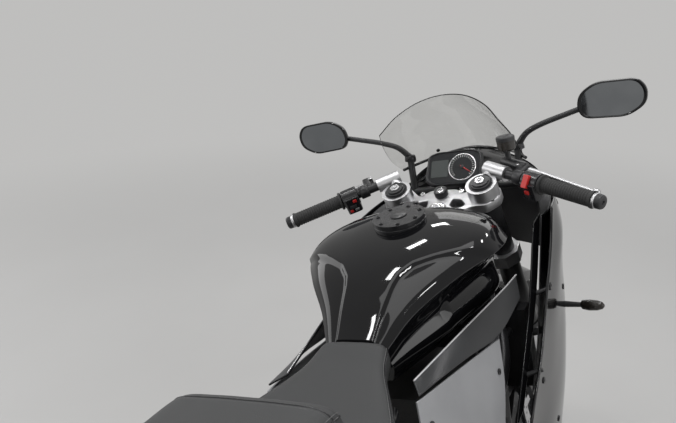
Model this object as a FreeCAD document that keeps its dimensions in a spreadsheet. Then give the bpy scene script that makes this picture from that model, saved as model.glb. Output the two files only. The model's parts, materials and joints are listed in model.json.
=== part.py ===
import FreeCAD
import Part
import Sketcher
import math
import os
from FreeCAD import Placement, Rotation, Vector

# A faired sport motorcycle that leans to its left on its side stand.
# Each piece is drawn upright, in millimetres: +X forward, +Y left, +Z up, y = 0 on
# the middle line, z = 0 on the ground. LEAN then tips the whole bike onto its stand.

SIZES = [
    ("wheelbase", 1426.0, "front axle to rear axle"),
    ("rake", 23.8, "steering axis from the vertical, degrees"),
    ("fork_offset", 45.8, "fork legs ahead of the steering axis"),
    ("lean", 12.5, "lean on the side stand, degrees"),
    ("front_tyre_radius", 300.0, "outside"),
    ("front_tyre_width", 120.0, "section"),
    ("front_crown", 62.0, "radius of the tread across the section"),
    ("rear_tyre_radius", 315.0, "outside"),
    ("rear_tyre_width", 180.0, "section"),
    ("rear_crown", 96.0, "radius of the tread across the section"),
    ("bead_radius", 218.0, "where both tyres sit on their rims"),
    ("front_rim_width", 89.0, "between the flanges"),
    ("rear_rim_width", 140.0, "between the flanges"),
    ("rim_wall", 9.0, "barrel thickness"),
    ("spoke_thickness", 26.0, "along the axle"),
    ("hub_radius", 42.0, "outside of both hubs"),
    ("front_hub_width", 92.0, "along the axle"),
    ("rear_hub_width", 120.0, "along the axle"),
    ("axle_radius", 12.0, "both axles"),
    ("axle_bore", 8.0, "radius of the hole through both axles"),
    ("front_disc_radius", 155.0, "outside"),
    ("front_disc_gap", 17.5, "hub end to the near face of the disc"),
    ("rear_disc_radius", 110.0, "outside"),
    ("rear_disc_gap", 37.5, "hub end to the near face of the disc"),
    ("disc_thickness", 5.0, "all discs"),
    ("fork_spread", 206.0, "between the fork legs"),
    ("slider_radius", 20.5, "lower, thin fork tube"),
    ("outer_tube_radius", 27.0, "upper, thick fork tube"),
    ("outer_tube_start", 250.0, "along the leg from the axle"),
    ("fork_length", 728.0, "axle to fork cap along the leg"),
    ("bottom_yoke_place", 492.0, "along the leg"),
    ("bottom_yoke_height", 34.0, "along the leg"),
    ("top_yoke_place", 672.0, "along the leg"),
    ("top_yoke_height", 24.0, "along the leg"),
    ("stem_radius", 14.0, "steering stem"),
    ("stem_bore", 9.0, "radius of the hole up the stem"),
    ("head_tube_radius", 33.0, "outside"),
    ("bar_radius", 11.0, "handlebar tube"),
    ("grip_radius", 16.5, "rubber grip"),
    ("grip_length", 126.0, "rubber grip"),
    ("bar_half_width", 368.0, "middle to handlebar end"),
    ("frame_tube_radius", 18.0, "main frame tubes"),
    ("rail_radius", 12.0, "rear frame rails"),
    ("pivot_height", 400.0, "swingarm pivot above the ground"),
    ("swingarm_inner", 121.0, "inner face of each arm from the middle"),
    ("swingarm_thickness", 27.0, "each arm"),
    ("swingarm_depth", 62.0, "height of each arm at its middle"),
    ("sprocket_radius", 84.0, "rear sprocket outside"),
    ("sprocket_thickness", 7.0, "rear sprocket"),
    ("chain_place", 105.0, "chain's middle from the bike's middle"),
    ("chain_width", 15.0, "across the chain"),
    ("chain_depth", 13.0, "across the links"),
    ("chain_clearance", 5.5, "sprocket teeth to the chain's inner edge"),
    ("chain_front_radius", 38.0, "chain's middle round the front sprocket"),
    ("engine_half_width", 125.0, "cylinder block"),
    ("crankcase_half_width", 140.0, "crankcase"),
    ("panel_thickness", 4.0, "all body panels"),
    ("screen_thickness", 3.0, "windscreen"),
    ("header_radius", 19.0, "exhaust header pipes"),
    ("mirror_place", 368.0, "mirror middle from the bike's middle"),
    ("peg_radius", 11.0, "all footpegs"),
    ("peg_length", 92.0, "all footpegs"),
    ("stand_radius", 12.0, "side stand leg"),
    ("stand_pin_radius", 7.0, "side stand pivot"),
    ("bobbin_thread", 4.0, "radius of the swingarm's paddock stand holes"),
    ("spool_length", 16.0, "threaded spools on the arms, for a paddock stand"),
    ("cap_radius", 46.0, "fuel filler cap"),
    ("clearance", 0.3, "between pieces that turn in each other"),
    ("fit", 0.05, "between pieces that are clamped round each other"),
]

doc = FreeCAD.newDocument("SportBike")
sheet = doc.addObject("Spreadsheet::Sheet", "Sizes")
for row, (alias, value, meaning) in enumerate(SIZES, start=1):
    sheet.set(f"A{row}", alias)
    sheet.set(f"B{row}", str(value))
    sheet.set(f"C{row}", meaning)
    sheet.setAlias(f"B{row}", alias)
doc.recompute()


class Size:
    """A number and the sheet expression that gives it, so that what is worked out stays tied."""

    def __init__(self, text, value):
        self.text = text
        self.value = value

    @staticmethod
    def of(other):
        return other if isinstance(other, Size) else Size(f"({float(other):.6f})", float(other))

    def joined(self, sign, other, value):
        return Size(f"({self.text} {sign} {other.text})", value)

    def __add__(self, other):
        other = Size.of(other)
        return self.joined("+", other, self.value + other.value)

    def __radd__(self, other):
        return Size.of(other) + self

    def __sub__(self, other):
        other = Size.of(other)
        return self.joined("-", other, self.value - other.value)

    def __rsub__(self, other):
        return Size.of(other) - self

    def __mul__(self, other):
        other = Size.of(other)
        return self.joined("*", other, self.value * other.value)

    def __rmul__(self, other):
        return Size.of(other) * self

    def __truediv__(self, other):
        other = Size.of(other)
        return self.joined("/", other, self.value / other.value)

    def __neg__(self):
        return Size(f"(0 - {self.text})", -self.value)

    def __float__(self):
        return self.value

    def root(self):
        return Size(f"sqrt({self.text})", math.sqrt(self.value))


def size(alias):
    """A driving dimension from the sheet."""
    return Size(f"Sizes.{alias}", float(sheet.get(alias)))


WHEELBASE = size("wheelbase")
FRONT_RADIUS = size("front_tyre_radius")
REAR_RADIUS = size("rear_tyre_radius")
BEAD = size("bead_radius")
HUB = size("hub_radius")
FRONT_HUB = size("front_hub_width")
REAR_HUB = size("rear_hub_width")
AXLE = size("axle_radius")
AXLE_BORE = size("axle_bore")
DISC = size("disc_thickness")
DISC_GAP = size("front_disc_gap")
SPREAD = size("fork_spread")
OFFSET = size("fork_offset")
OUTER_TUBE = size("outer_tube_radius")
SLIDER = size("slider_radius")
TUBE_START = size("outer_tube_start")
FORK_LENGTH = size("fork_length")
BOTTOM_YOKE = size("bottom_yoke_place")
BOTTOM_YOKE_HEIGHT = size("bottom_yoke_height")
TOP_YOKE = size("top_yoke_place")
TOP_YOKE_HEIGHT = size("top_yoke_height")
STEM = size("stem_radius")
STEM_BORE = size("stem_bore")
HEAD_TUBE = size("head_tube_radius")
BAR = size("bar_radius")
GRIP = size("grip_radius")
GRIP_LENGTH = size("grip_length")
BAR_END = size("bar_half_width")
FRAME_TUBE = size("frame_tube_radius")
RAIL = size("rail_radius")
ARM_INNER = size("swingarm_inner")
ARM = size("swingarm_thickness")
ARM_DEPTH = size("swingarm_depth")
SPROCKET = size("sprocket_radius")
SPROCKET_THICKNESS = size("sprocket_thickness")
CHAIN_PLACE = size("chain_place")
CHAIN_WIDTH = size("chain_width")
CHAIN_DEPTH = size("chain_depth")
CHAIN_CLEARANCE = size("chain_clearance")
CHAIN_FRONT = size("chain_front_radius")
ENGINE_HALF = size("engine_half_width")
CRANKCASE_HALF = size("crankcase_half_width")
PANEL = size("panel_thickness")
SCREEN_WALL = size("screen_thickness")
HEADER = size("header_radius")
MIRROR = size("mirror_place")
PEG = size("peg_radius")
PEG_LENGTH = size("peg_length")
STAND = size("stand_radius")
STAND_PIN = size("stand_pin_radius")
BOBBIN = size("bobbin_thread")
SPOOL = size("spool_length")
CAP = size("cap_radius")
CLEAR = size("clearance")
FIT = size("fit")

LEFT, RIGHT = 1, -1
SIDES = ((LEFT, "left"), (RIGHT, "right"))
X, Y, Z = Vector(1, 0, 0), Vector(0, 1, 0), Vector(0, 0, 1)

# The two axles, the steering axis and the swingarm pivot

FRONT_AXLE = Vector(713, 0, float(FRONT_RADIUS))
REAR_AXLE = Vector(FRONT_AXLE.x - float(WHEELBASE), 0, float(REAR_RADIUS))
PIVOT = Vector(-235, 0, float(size("pivot_height")))
RAKE = math.radians(float(size("rake")))
UP_FORK = Vector(-math.sin(RAKE), 0, math.cos(RAKE))
AHEAD_FORK = Vector(math.cos(RAKE), 0, math.sin(RAKE))


def on_leg(side, along):
    """A point on a fork leg's middle line, measured up the leg from the axle."""
    return FRONT_AXLE + UP_FORK * float(along) + Y * (side * float(SPREAD) / 2)


def on_stem(along):
    """A point on the steering axis, level with the same distance up the legs."""
    return FRONT_AXLE + UP_FORK * float(along) - AHEAD_FORK * float(OFFSET)


def lean_over():
    """Tips the bike to its left and sets both round treads back on the floor."""
    angle = float(size("lean"))
    share = 1 - math.cos(math.radians(angle))
    rise_front = float(size("front_crown")) * share
    rise_rear = float(size("rear_crown")) * share
    pitch = math.degrees((rise_rear - rise_front) / float(WHEELBASE))
    tipped = Placement(Vector(), Rotation(X, -angle))
    return Placement(Vector(0, 0, (rise_front + rise_rear) / 2), Rotation(Y, pitch)) * tipped


LEAN = lean_over()
NODES = {}

# Ways of making pieces


def node(label, thing):
    """Names a finished sub-part, leans it over and keeps it for writing."""
    thing.Label = label
    thing.Placement = LEAN * thing.Placement
    NODES[label] = thing
    return thing


def bind(thing, prop, amount):
    """Ties one property of a document object to the sheet."""
    thing.setExpression(prop, Size.of(amount).text)


def rod(name, start, direction, radius, length):
    """A cylinder from start along direction."""
    piece = doc.addObject("Part::Cylinder", name)
    bind(piece, "Radius", radius)
    bind(piece, "Height", length)
    piece.Placement = Placement(start, Rotation(Z, direction))
    return piece


def rod_to(name, start, end, radius):
    """A cylinder between two points."""
    return rod(name, start, end - start, radius, (end - start).Length)


def block(name, corner, length, width, height, turn=0.0):
    """A box from its lowest corner, turned by some degrees about its crosswise edge."""
    piece = doc.addObject("Part::Box", name)
    bind(piece, "Length", length)
    bind(piece, "Width", width)
    bind(piece, "Height", height)
    piece.Placement = Placement(corner, Rotation(Y, turn))
    return piece


def fork_block(name, side, ahead, near, along, length, width, height):
    """A box square to the fork: ahead of the leg line, near and out from the middle, up the leg."""
    low = near if side > 0 else -(near + width)
    corner = FRONT_AXLE + AHEAD_FORK * float(ahead) + UP_FORK * float(along) + Y * float(low)
    return block(name, corner, length, width, height, -math.degrees(RAKE))


def fused(name, pieces):
    whole = doc.addObject("Part::MultiFuse", name)
    whole.Shapes = pieces
    return whole


def apart(name, pieces):
    """Pieces that don't touch, as one sub-part."""
    group = doc.addObject("Part::Compound", name)
    group.Links = pieces
    return group


def cut(name, base, tools):
    """A piece with some others taken out of it."""
    tool = tools[0] if len(tools) == 1 else fused(name + "_tools", tools)
    left = doc.addObject("Part::Cut", name)
    left.Base = base
    left.Tool = tool
    return left


def shaped(name, shape):
    """A sub-part whose shape is worked out here, in upright coordinates."""
    piece = doc.addObject("Part::Feature", name)
    piece.Shape = shape
    return piece


def shape_of(label):
    """A finished node's shape, upright again."""
    doc.recompute()
    shape = NODES[label].Shape.copy()
    shape.Placement = LEAN.inverse() * shape.Placement
    return shape


def biggest(shape):
    return max(shape.Solids, key=lambda solid: solid.Volume)


def cylinder(radius, start, end):
    """A cylinder shape between two points."""
    return Part.makeCylinder(float(radius), (end - start).Length, start, end - start)


def strut(start, end, radius, against):
    """A round strut between two pieces, ending flush on what it meets."""
    return biggest(cylinder(radius, start, end).cut(against))


def plane_of(body, role):
    for feature in body.Origin.OriginFeatures:
        if feature.Role == role:
            return feature
    raise ValueError(role)


def tie_point(sketch, edge, which, corner):
    """Holds one point of a sketch at its two distances from the sketch's origin."""
    for kind, amount in zip(("DistanceX", "DistanceY"), corner):
        amount = Size.of(amount)
        constraint = Sketcher.Constraint(kind, -1, 1, edge, which, amount.value)
        bind(sketch, f"Constraints[{sketch.addConstraint(constraint)}]", amount)


def new_sketch(body, role, name):
    sketch = body.newObject("Sketcher::SketchObject", name)
    sketch.AttachmentSupport = (plane_of(body, role), [""])
    sketch.MapMode = "FlatFace"
    return sketch


def outline(body, role, name, corners, arcs=None):
    """A closed sketch through tied corners; arcs gives a tied point on each edge that is round."""
    arcs = arcs or {}
    sketch = new_sketch(body, role, name)
    flat = [Vector(float(a), float(b), 0) for a, b in corners]
    ends = []
    for k, start in enumerate(flat):
        end = flat[(k + 1) % len(flat)]
        first = 1
        if k in arcs:
            through = Vector(float(arcs[k][0]), float(arcs[k][1]), 0)
            edge = sketch.addGeometry(Part.Arc(start, through, end))
            if sketch.getPoint(edge, 1).distanceToPoint(start) > 1e-4:
                first = 2
        else:
            edge = sketch.addGeometry(Part.LineSegment(start, end))
        ends.append((edge, first))
    for k, (edge, first) in enumerate(ends):
        before, before_first = ends[k - 1]
        sketch.addConstraint(Sketcher.Constraint("Coincident", before, 3 - before_first, edge, first))
        tie_point(sketch, edge, first, corners[k])
        if k in arcs:
            through = Vector(float(arcs[k][0]), float(arcs[k][1]), 0)
            mark = sketch.addGeometry(Part.Point(through), True)
            tie_point(sketch, mark, 1, arcs[k])
            sketch.addConstraint(Sketcher.Constraint("PointOnObject", mark, 1, edge))
    return sketch


def turned(body, sketch, name):
    """Turns an outline of (along the axle, radius) corners round the body's X axis."""
    turn = body.newObject("PartDesign::Revolution", name)
    turn.Profile = sketch
    turn.ReferenceAxis = (sketch, ["H_Axis"])
    turn.Angle = 360
    body.Tip = turn


def padded(body, sketch, name, length, midplane=False):
    pad = body.newObject("PartDesign::Pad", name)
    pad.Profile = sketch
    bind(pad, "Length", length)
    pad.Midplane = midplane
    body.Tip = pad
    return pad


def solid_of(triangles):
    """A closed solid from flat triangles."""
    faces = []
    for a, b, c in triangles:
        if (b - a).cross(c - a).Length > 1e-3:
            faces.append(Part.Face(Part.makePolygon([a, b, c, a])))
    shell = Part.makeShell(faces)
    shell.sewShape()
    solid = Part.makeSolid(shell)
    if solid.Volume < 0:
        solid.reverse()
    return solid.removeSplitter()


def ring_solid(rings):
    """A solid through closed rings with as many corners each, with a flat fan on both ends."""
    triangles = []
    count = len(rings[0])
    for near, far in zip(rings, rings[1:]):
        for k in range(count):
            after = (k + 1) % count
            triangles.append((near[k], near[after], far[after]))
            triangles.append((near[k], far[after], far[k]))
    for ring, first, last in ((rings[0], 1, 0), (rings[-1], 0, 1)):
        middle = sum(ring, Vector()) * (1.0 / count)
        for k in range(count):
            pair = (ring[k], ring[(k + 1) % count])
            triangles.append((pair[first], pair[last], middle))
    return solid_of(triangles)


def sheet_solid(grid, thickness):
    """A panel whose outer face is a grid of corners, thickness deep towards its inner side."""
    rows, columns = len(grid), len(grid[0])
    inner = []
    for i in range(rows):
        line = []
        for j in range(columns):
            along = grid[min(i + 1, rows - 1)][j] - grid[max(i - 1, 0)][j]
            across = grid[i][min(j + 1, columns - 1)] - grid[i][max(j - 1, 0)]
            line.append(grid[i][j] - along.cross(across).normalize() * float(thickness))
        inner.append(line)
    triangles = []
    for i in range(rows - 1):
        for j in range(columns - 1):
            for face, flip in ((grid, False), (inner, True)):
                a, b, c, d = face[i][j], face[i + 1][j], face[i + 1][j + 1], face[i][j + 1]
                pair = [(a, b, c), (a, c, d)]
                triangles += [t[::-1] for t in pair] if flip else pair
    rim = [(i, 0) for i in range(rows)] + [(rows - 1, j) for j in range(1, columns)]
    rim += [(i, columns - 1) for i in range(rows - 2, -1, -1)] + [(0, j) for j in range(columns - 2, 0, -1)]
    for (i, j), (k, m) in zip(rim, rim[1:] + rim[:1]):
        a, b, c, d = grid[i][j], grid[k][m], inner[k][m], inner[i][j]
        triangles += [(a, c, b), (a, d, c)]
    return solid_of(triangles)


def facing(grid, outward):
    """The grid, turned over if its middle cell's normal points away from outward."""
    i, j = (len(grid) - 1) // 2, (len(grid[0]) - 1) // 2
    normal = (grid[i + 1][j] - grid[i][j]).cross(grid[i][j + 1] - grid[i][j])
    return grid if normal.dot(outward) > 0 else [row[::-1] for row in grid]


def corners_of(rows):
    return [[Vector(*corner) for corner in row] for row in rows]


def across(rows):
    """Rows that run from the middle out to the left, carried on over to the right."""
    return [[Vector(x, -y, z) for x, y, z in row[:0:-1]] + [Vector(*corner) for corner in row] for row in rows]


def for_side(side, shape):
    """A shape drawn for the left, or its mirror image for the right."""
    return shape if side > 0 else shape.mirror(Vector(), Y)


def domed_ring(x, half_widths, heights):
    """A ring across the bike at x: up the left side to the middle and down the right."""
    left = [Vector(x, width, height) for width, height in zip(half_widths, heights)]
    return left + [Vector(p.x, -p.y, p.z) for p in left[::-1] if p.y > 0]


def pipe(corners, radius):
    """A round tube along straight runs joined by tangent arcs, each as large as its runs allow."""
    edges = []
    start = corners[0]
    for before, corner, after in zip(corners, corners[1:], corners[2:]):
        back = (before - corner).normalize()
        ahead = (after - corner).normalize()
        half_turn = (math.pi - back.getAngle(ahead)) / 2
        trim = 0.45 * min((before - corner).Length, (after - corner).Length)
        bend = trim / math.tan(half_turn)
        first, last = corner + back * trim, corner + ahead * trim
        middle = corner + (back + ahead).normalize() * (bend / math.cos(half_turn) - bend)
        edges.append(Part.LineSegment(start, first).toShape())
        edges.append(Part.Arc(first, middle, last).toShape())
        start = last
    edges.append(Part.LineSegment(start, corners[-1]).toShape())
    circle = Part.Wire(Part.makeCircle(float(radius), corners[0], corners[1] - corners[0]))
    return Part.Wire(edges).makePipeShell([circle], True, False, 2)


# Wheels, discs and axles


def tyre(label, centre, width, radius, crown, rim_width):
    """Beads on the rim, bulging walls and a round tread of the crown radius."""
    body = doc.addObject("PartDesign::Body", label)
    half, bead = width / 2, rim_width / 2
    edge = half - 3
    shoulder = radius - crown + (crown * crown - edge * edge).root()
    wall = (BEAD + shoulder) / 2
    lip = BEAD + 9
    corners = [(-bead, BEAD), (-bead, lip), (-edge, shoulder), (edge, shoulder), (bead, lip), (bead, BEAD)]
    arcs = {1: (-half, wall), 2: (Size.of(0), radius), 3: (half, wall)}
    turned(body, outline(body, "XY_Plane", label + "_outline", corners, arcs), label + "_turned")
    body.Placement = Placement(centre, Rotation(Z, 90))
    node(label, body)


def wheel(label, centre, rim_width, hub_width, spoke_half, spoke_root):
    """A cast wheel: barrel with flanges, forked spokes in a ring, and a hub bored for its axle."""
    body = doc.addObject("PartDesign::Body", label)
    half = rim_width / 2
    outer = BEAD - CLEAR
    inner = outer - size("rim_wall")
    barrel = [
        (-half - 7, BEAD + 8), (-half - 1, BEAD + 8), (-half - 1, outer), (half + 1, outer),
        (half + 1, BEAD + 8), (half + 7, BEAD + 8), (half + 5, inner), (half * 0.5, inner - 10),
        (-half * 0.5, inner - 10), (-half - 5, inner),
    ]
    turned(body, outline(body, "XY_Plane", label + "_barrel_outline", barrel), label + "_barrel")
    rim_in = inner - 10
    spoke = [
        (-spoke_root, HUB - 8), (spoke_root, HUB - 8), (spoke_half + 12, rim_in), (spoke_half - 10, rim_in + 5),
        (Size.of(0), HUB + 52), (10 - spoke_half, rim_in + 5), (-12 - spoke_half, rim_in),
    ]
    pad = padded(body, outline(body, "YZ_Plane", label + "_spoke_outline", spoke), label + "_spoke",
                 size("spoke_thickness"), True)
    ring = body.newObject("PartDesign::PolarPattern", label + "_spokes")
    ring.Originals = [pad]
    ring.Axis = (plane_of(body, "X_Axis"), [""])
    ring.Angle = 360
    ring.Occurrences = 5
    body.Tip = ring
    end = hub_width / 2
    bore = AXLE + CLEAR
    hub = [(-end, bore), (-end, HUB - 6), (8 - end, HUB), (end - 8, HUB), (end, HUB - 6), (end, bore)]
    turned(body, outline(body, "XY_Plane", label + "_hub_outline", hub), label + "_hub")
    body.Placement = Placement(centre, Rotation(Z, 90))
    node(label, body)


def disc(name, centre, outward, radius, hub_width, gap, band, drills):
    """A drilled brake disc on eight arms, and the boss that carries it on the hub's end."""
    hub_end = centre + outward * (float(hub_width) / 2)
    face = hub_end + outward * float(gap)
    ring = rod(name + "_ring", face, outward, radius, DISC)
    window = rod(name + "_window", face, outward, radius - band, DISC)
    holes = []
    for k in range(drills):
        for step, share in ((0.0, 0.25), (0.5, 0.5), (0.25, 0.75)):
            angle = 2 * math.pi * (k + step) / drills
            reach = float(radius) - band * share
            at = face + X * (reach * math.cos(angle)) + Z * (reach * math.sin(angle))
            holes.append(rod(f"{name}_hole", at, outward, 3.4, DISC))
    band_piece = cut(name + "_band", ring, [window] + holes)
    boss = rod(name + "_boss", hub_end, outward, HUB + 14, gap + DISC)
    hollow = rod(name + "_hollow", hub_end, outward, AXLE + 14, gap + DISC)
    arms = []
    for k in range(8):
        angle = 360 * k / 8
        out = Vector(math.cos(math.radians(angle)), 0, math.sin(math.radians(angle)))
        side_way = out.cross(outward)
        arm = block(f"{name}_arm", Vector(), DISC, 22, radius - band - HUB - 2)
        turn = FreeCAD.Matrix(outward.x, side_way.x, out.x, 0,
                              outward.y, side_way.y, out.y, 0,
                              outward.z, side_way.z, out.z, 0,
                              0, 0, 0, 1)
        arm.Placement = Placement(face + out * float(HUB + 6) - side_way * 11, Rotation(turn))
        arms.append(arm)
    carrier = cut(name + "_carrier", fused(name + "_core", [boss] + arms), [hollow])
    return fused(name, [band_piece, carrier])


def sprocket_shape():
    """The rear sprocket's toothed plate with round windows, on the boss that reaches the hub."""
    teeth, outer = 43, float(SPROCKET)
    corners = []
    for k in range(teeth):
        for share, depth in ((0.0, -7.0), (0.28, -7.0), (0.45, 0.0), (0.83, 0.0)):
            angle = 2 * math.pi * (k + share) / teeth
            corners.append(Vector(math.cos(angle), 0, math.sin(angle)) * (outer + depth))
    hub_end = REAR_AXLE + Y * (float(REAR_HUB) / 2)
    face = REAR_AXLE + Y * float(CHAIN_PLACE - SPROCKET_THICKNESS / 2)
    plate = Part.Face(Part.makePolygon(corners + corners[:1])).extrude(Y * float(SPROCKET_THICKNESS))
    plate.translate(face)
    boss = Part.makeCylinder(float(HUB) + 8, (face - hub_end).Length + 1, hub_end, Y)
    holes = [Part.makeCylinder(float(AXLE) + 14, 200, hub_end, Y)]
    for k in range(6):
        angle = 2 * math.pi * k / 6
        holes.append(Part.makeCylinder(8, 30, face + Vector(math.cos(angle), 0, math.sin(angle)) * 63, Y))
    return plate.fuse(boss).cut(holes)


def axle(label, centre, half_length, spacers):
    """A hollow axle with a nut, and the spacers that stand between the hub and what carries it."""
    start = centre - Y * float(half_length)
    parts = [rod(label + "_bar", start, Y, AXLE, half_length * 2), rod(label + "_nut", start, Y, AXLE + 6, 7)]
    for near, far in spacers:
        low = min(float(near), float(far))
        parts.append(rod(f"{label}_spacer", centre + Y * low, Y, AXLE + 6, abs(float(far) - float(near))))
    hole = rod(label + "_hole", start, Y, AXLE_BORE, half_length * 2)
    node(label, cut(label, fused(label + "_solid", parts), [hole]))


def wheels():
    front_width, rear_width = size("front_rim_width"), size("rear_rim_width")
    tyre("front_tyre", FRONT_AXLE, size("front_tyre_width"), FRONT_RADIUS, size("front_crown"), front_width)
    tyre("rear_tyre", REAR_AXLE, size("rear_tyre_width"), REAR_RADIUS, size("rear_crown"), rear_width)
    wheel("front_wheel", FRONT_AXLE, front_width, FRONT_HUB, 56, 20)
    wheel("rear_wheel", REAR_AXLE, rear_width, REAR_HUB, 58, 22)
    radius = size("front_disc_radius")
    pair = [disc(f"front_disc_{word}", FRONT_AXLE, Y * side, radius, FRONT_HUB, DISC_GAP, 34, 18)
            for side, word in SIDES]
    node("front_discs", apart("front_discs", pair))
    node("rear_disc", disc("rear_disc", REAR_AXLE, -Y, size("rear_disc_radius"), REAR_HUB,
                           size("rear_disc_gap"), 28, 14))
    node("rear_sprocket", shaped("rear_sprocket", sprocket_shape()))
    inner = SPREAD / 2 - 25
    hub = FRONT_HUB / 2 + CLEAR
    axle("front_axle", FRONT_AXLE, SPREAD / 2 + 33, [(hub, inner), (-hub, -inner)])
    hub = REAR_HUB / 2 + CLEAR
    axle("rear_axle", REAR_AXLE, ARM_INNER + ARM + 13, [(hub, ARM_INNER), (-hub, -ARM_INNER)])


# Fork, yokes and handlebars


def yoke(label, along, height):
    """A fork clamp: a plate square to the fork with bores for both legs and for the stem."""
    body = doc.addObject("PartDesign::Body", label)
    half, leg = SPREAD / 2, OUTER_TUBE
    half_front = [
        (half + leg + 10, Size.of(-14)), (half + leg + 10, Size.of(14)), (half + 12, leg + 10),
        (half - 20, leg + 10), (half - leg - 20, Size.of(8)), (Size.of(30), Size.of(26)),
    ]
    half_back = [(Size.of(32), -OFFSET - 26), (half - 22, -leg - 12), (half + 12, -leg - 11)]
    corners = half_front + [(-a, b) for a, b in reversed(half_front)]
    corners += [(-a, b) for a, b in reversed(half_back)] + half_back
    padded(body, outline(body, "XY_Plane", label + "_outline", corners), label + "_plate", height)
    bores = ((half, Size.of(0), leg + FIT), (-half, Size.of(0), leg + FIT), (Size.of(0), -OFFSET, STEM_BORE))
    for number, (out, deep, radius) in enumerate(bores):
        hole = new_sketch(body, "XY_Plane", f"{label}_circle_{number}")
        ring = hole.addGeometry(Part.Circle(Vector(float(out), float(deep), 0), Z, float(radius)))
        tie_point(hole, ring, 3, (out, deep))
        index = hole.addConstraint(Sketcher.Constraint("Radius", ring, float(radius)))
        bind(hole, f"Constraints[{index}]", radius)
        pocket = body.newObject("PartDesign::Pocket", f"{label}_bore_{number}")
        pocket.Profile = hole
        pocket.Type = 1
        pocket.Reversed = True
        body.Tip = pocket
    square = FreeCAD.Matrix(0, AHEAD_FORK.x, UP_FORK.x, 0,
                            -1, 0, 0, 0,
                            0, AHEAD_FORK.z, UP_FORK.z, 0,
                            0, 0, 0, 1)
    body.Placement = Placement(FRONT_AXLE + UP_FORK * float(along), Rotation(square))
    return body


def fork():
    outers, lowers = [], []
    for side, word in SIDES:
        tube = rod(f"outer_tube_{word}", on_leg(side, TUBE_START), UP_FORK, OUTER_TUBE, FORK_LENGTH - TUBE_START)
        seal = rod(f"dust_seal_{word}", on_leg(side, TUBE_START), UP_FORK, OUTER_TUBE + 2.5, 15)
        cap = rod(f"fork_cap_{word}", on_leg(side, FORK_LENGTH), UP_FORK, OUTER_TUBE - 8, 7)
        outers.append(fused(f"fork_outer_{word}", [tube, seal, cap]))
        slider = rod(f"slider_{word}", on_leg(side, 0), UP_FORK, SLIDER, TUBE_START)
        foot = rod(f"fork_foot_{word}", on_leg(side, -32), UP_FORK, 25, 116)
        lug = fork_block(f"caliper_lug_{word}", side, -50, SPREAD / 2 - 21, 48, 40, 20, 34)
        lug_up = fork_block(f"caliper_lug_upper_{word}", side, -50, SPREAD / 2 - 21, 122, 40, 20, 26)
        hole = rod(f"axle_hole_{word}", on_leg(side, 0) - Y * 60, Y, AXLE + FIT, 120)
        lower = fused(f"fork_lower_solid_{word}", [slider, foot, lug, lug_up])
        lowers.append(cut(f"fork_lower_{word}", lower, [hole]))
    node("fork_outer_tubes", apart("fork_outer_tubes", outers))
    node("fork_lowers", apart("fork_lowers", lowers))
    node("top_yoke", yoke("top_yoke_plate", TOP_YOKE, TOP_YOKE_HEIGHT))
    lower_plate = yoke("bottom_yoke_plate", BOTTOM_YOKE, BOTTOM_YOKE_HEIGHT)
    stem_start = BOTTOM_YOKE + BOTTOM_YOKE_HEIGHT
    stem = rod("stem_bar", on_stem(stem_start), UP_FORK, STEM, TOP_YOKE - stem_start)
    bore = rod("stem_hole", on_stem(stem_start), UP_FORK, STEM_BORE, TOP_YOKE - stem_start)
    node("bottom_yoke", fused("bottom_yoke", [lower_plate, cut("steering_stem", stem, [bore])]))
    top = on_stem(TOP_YOKE + TOP_YOKE_HEIGHT)
    nut = rod("stem_nut", top, UP_FORK, 18, 10)
    lock = rod("ignition_lock", top + AHEAD_FORK * 55, UP_FORK, 16, 15)
    node("stem_nut_and_lock", apart("stem_nut_and_lock", [nut, lock]))


def bar_line(side):
    """The handlebar tube's inner end, its outer end and its direction outwards."""
    clamp = on_leg(side, TOP_YOKE + TOP_YOKE_HEIGHT + 15)
    inner = clamp + AHEAD_FORK * 46 + UP_FORK * 16 + Y * (side * 15)
    outer = Vector(334, side * float(BAR_END), 929)
    return inner, outer, (outer - inner).normalize()


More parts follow.
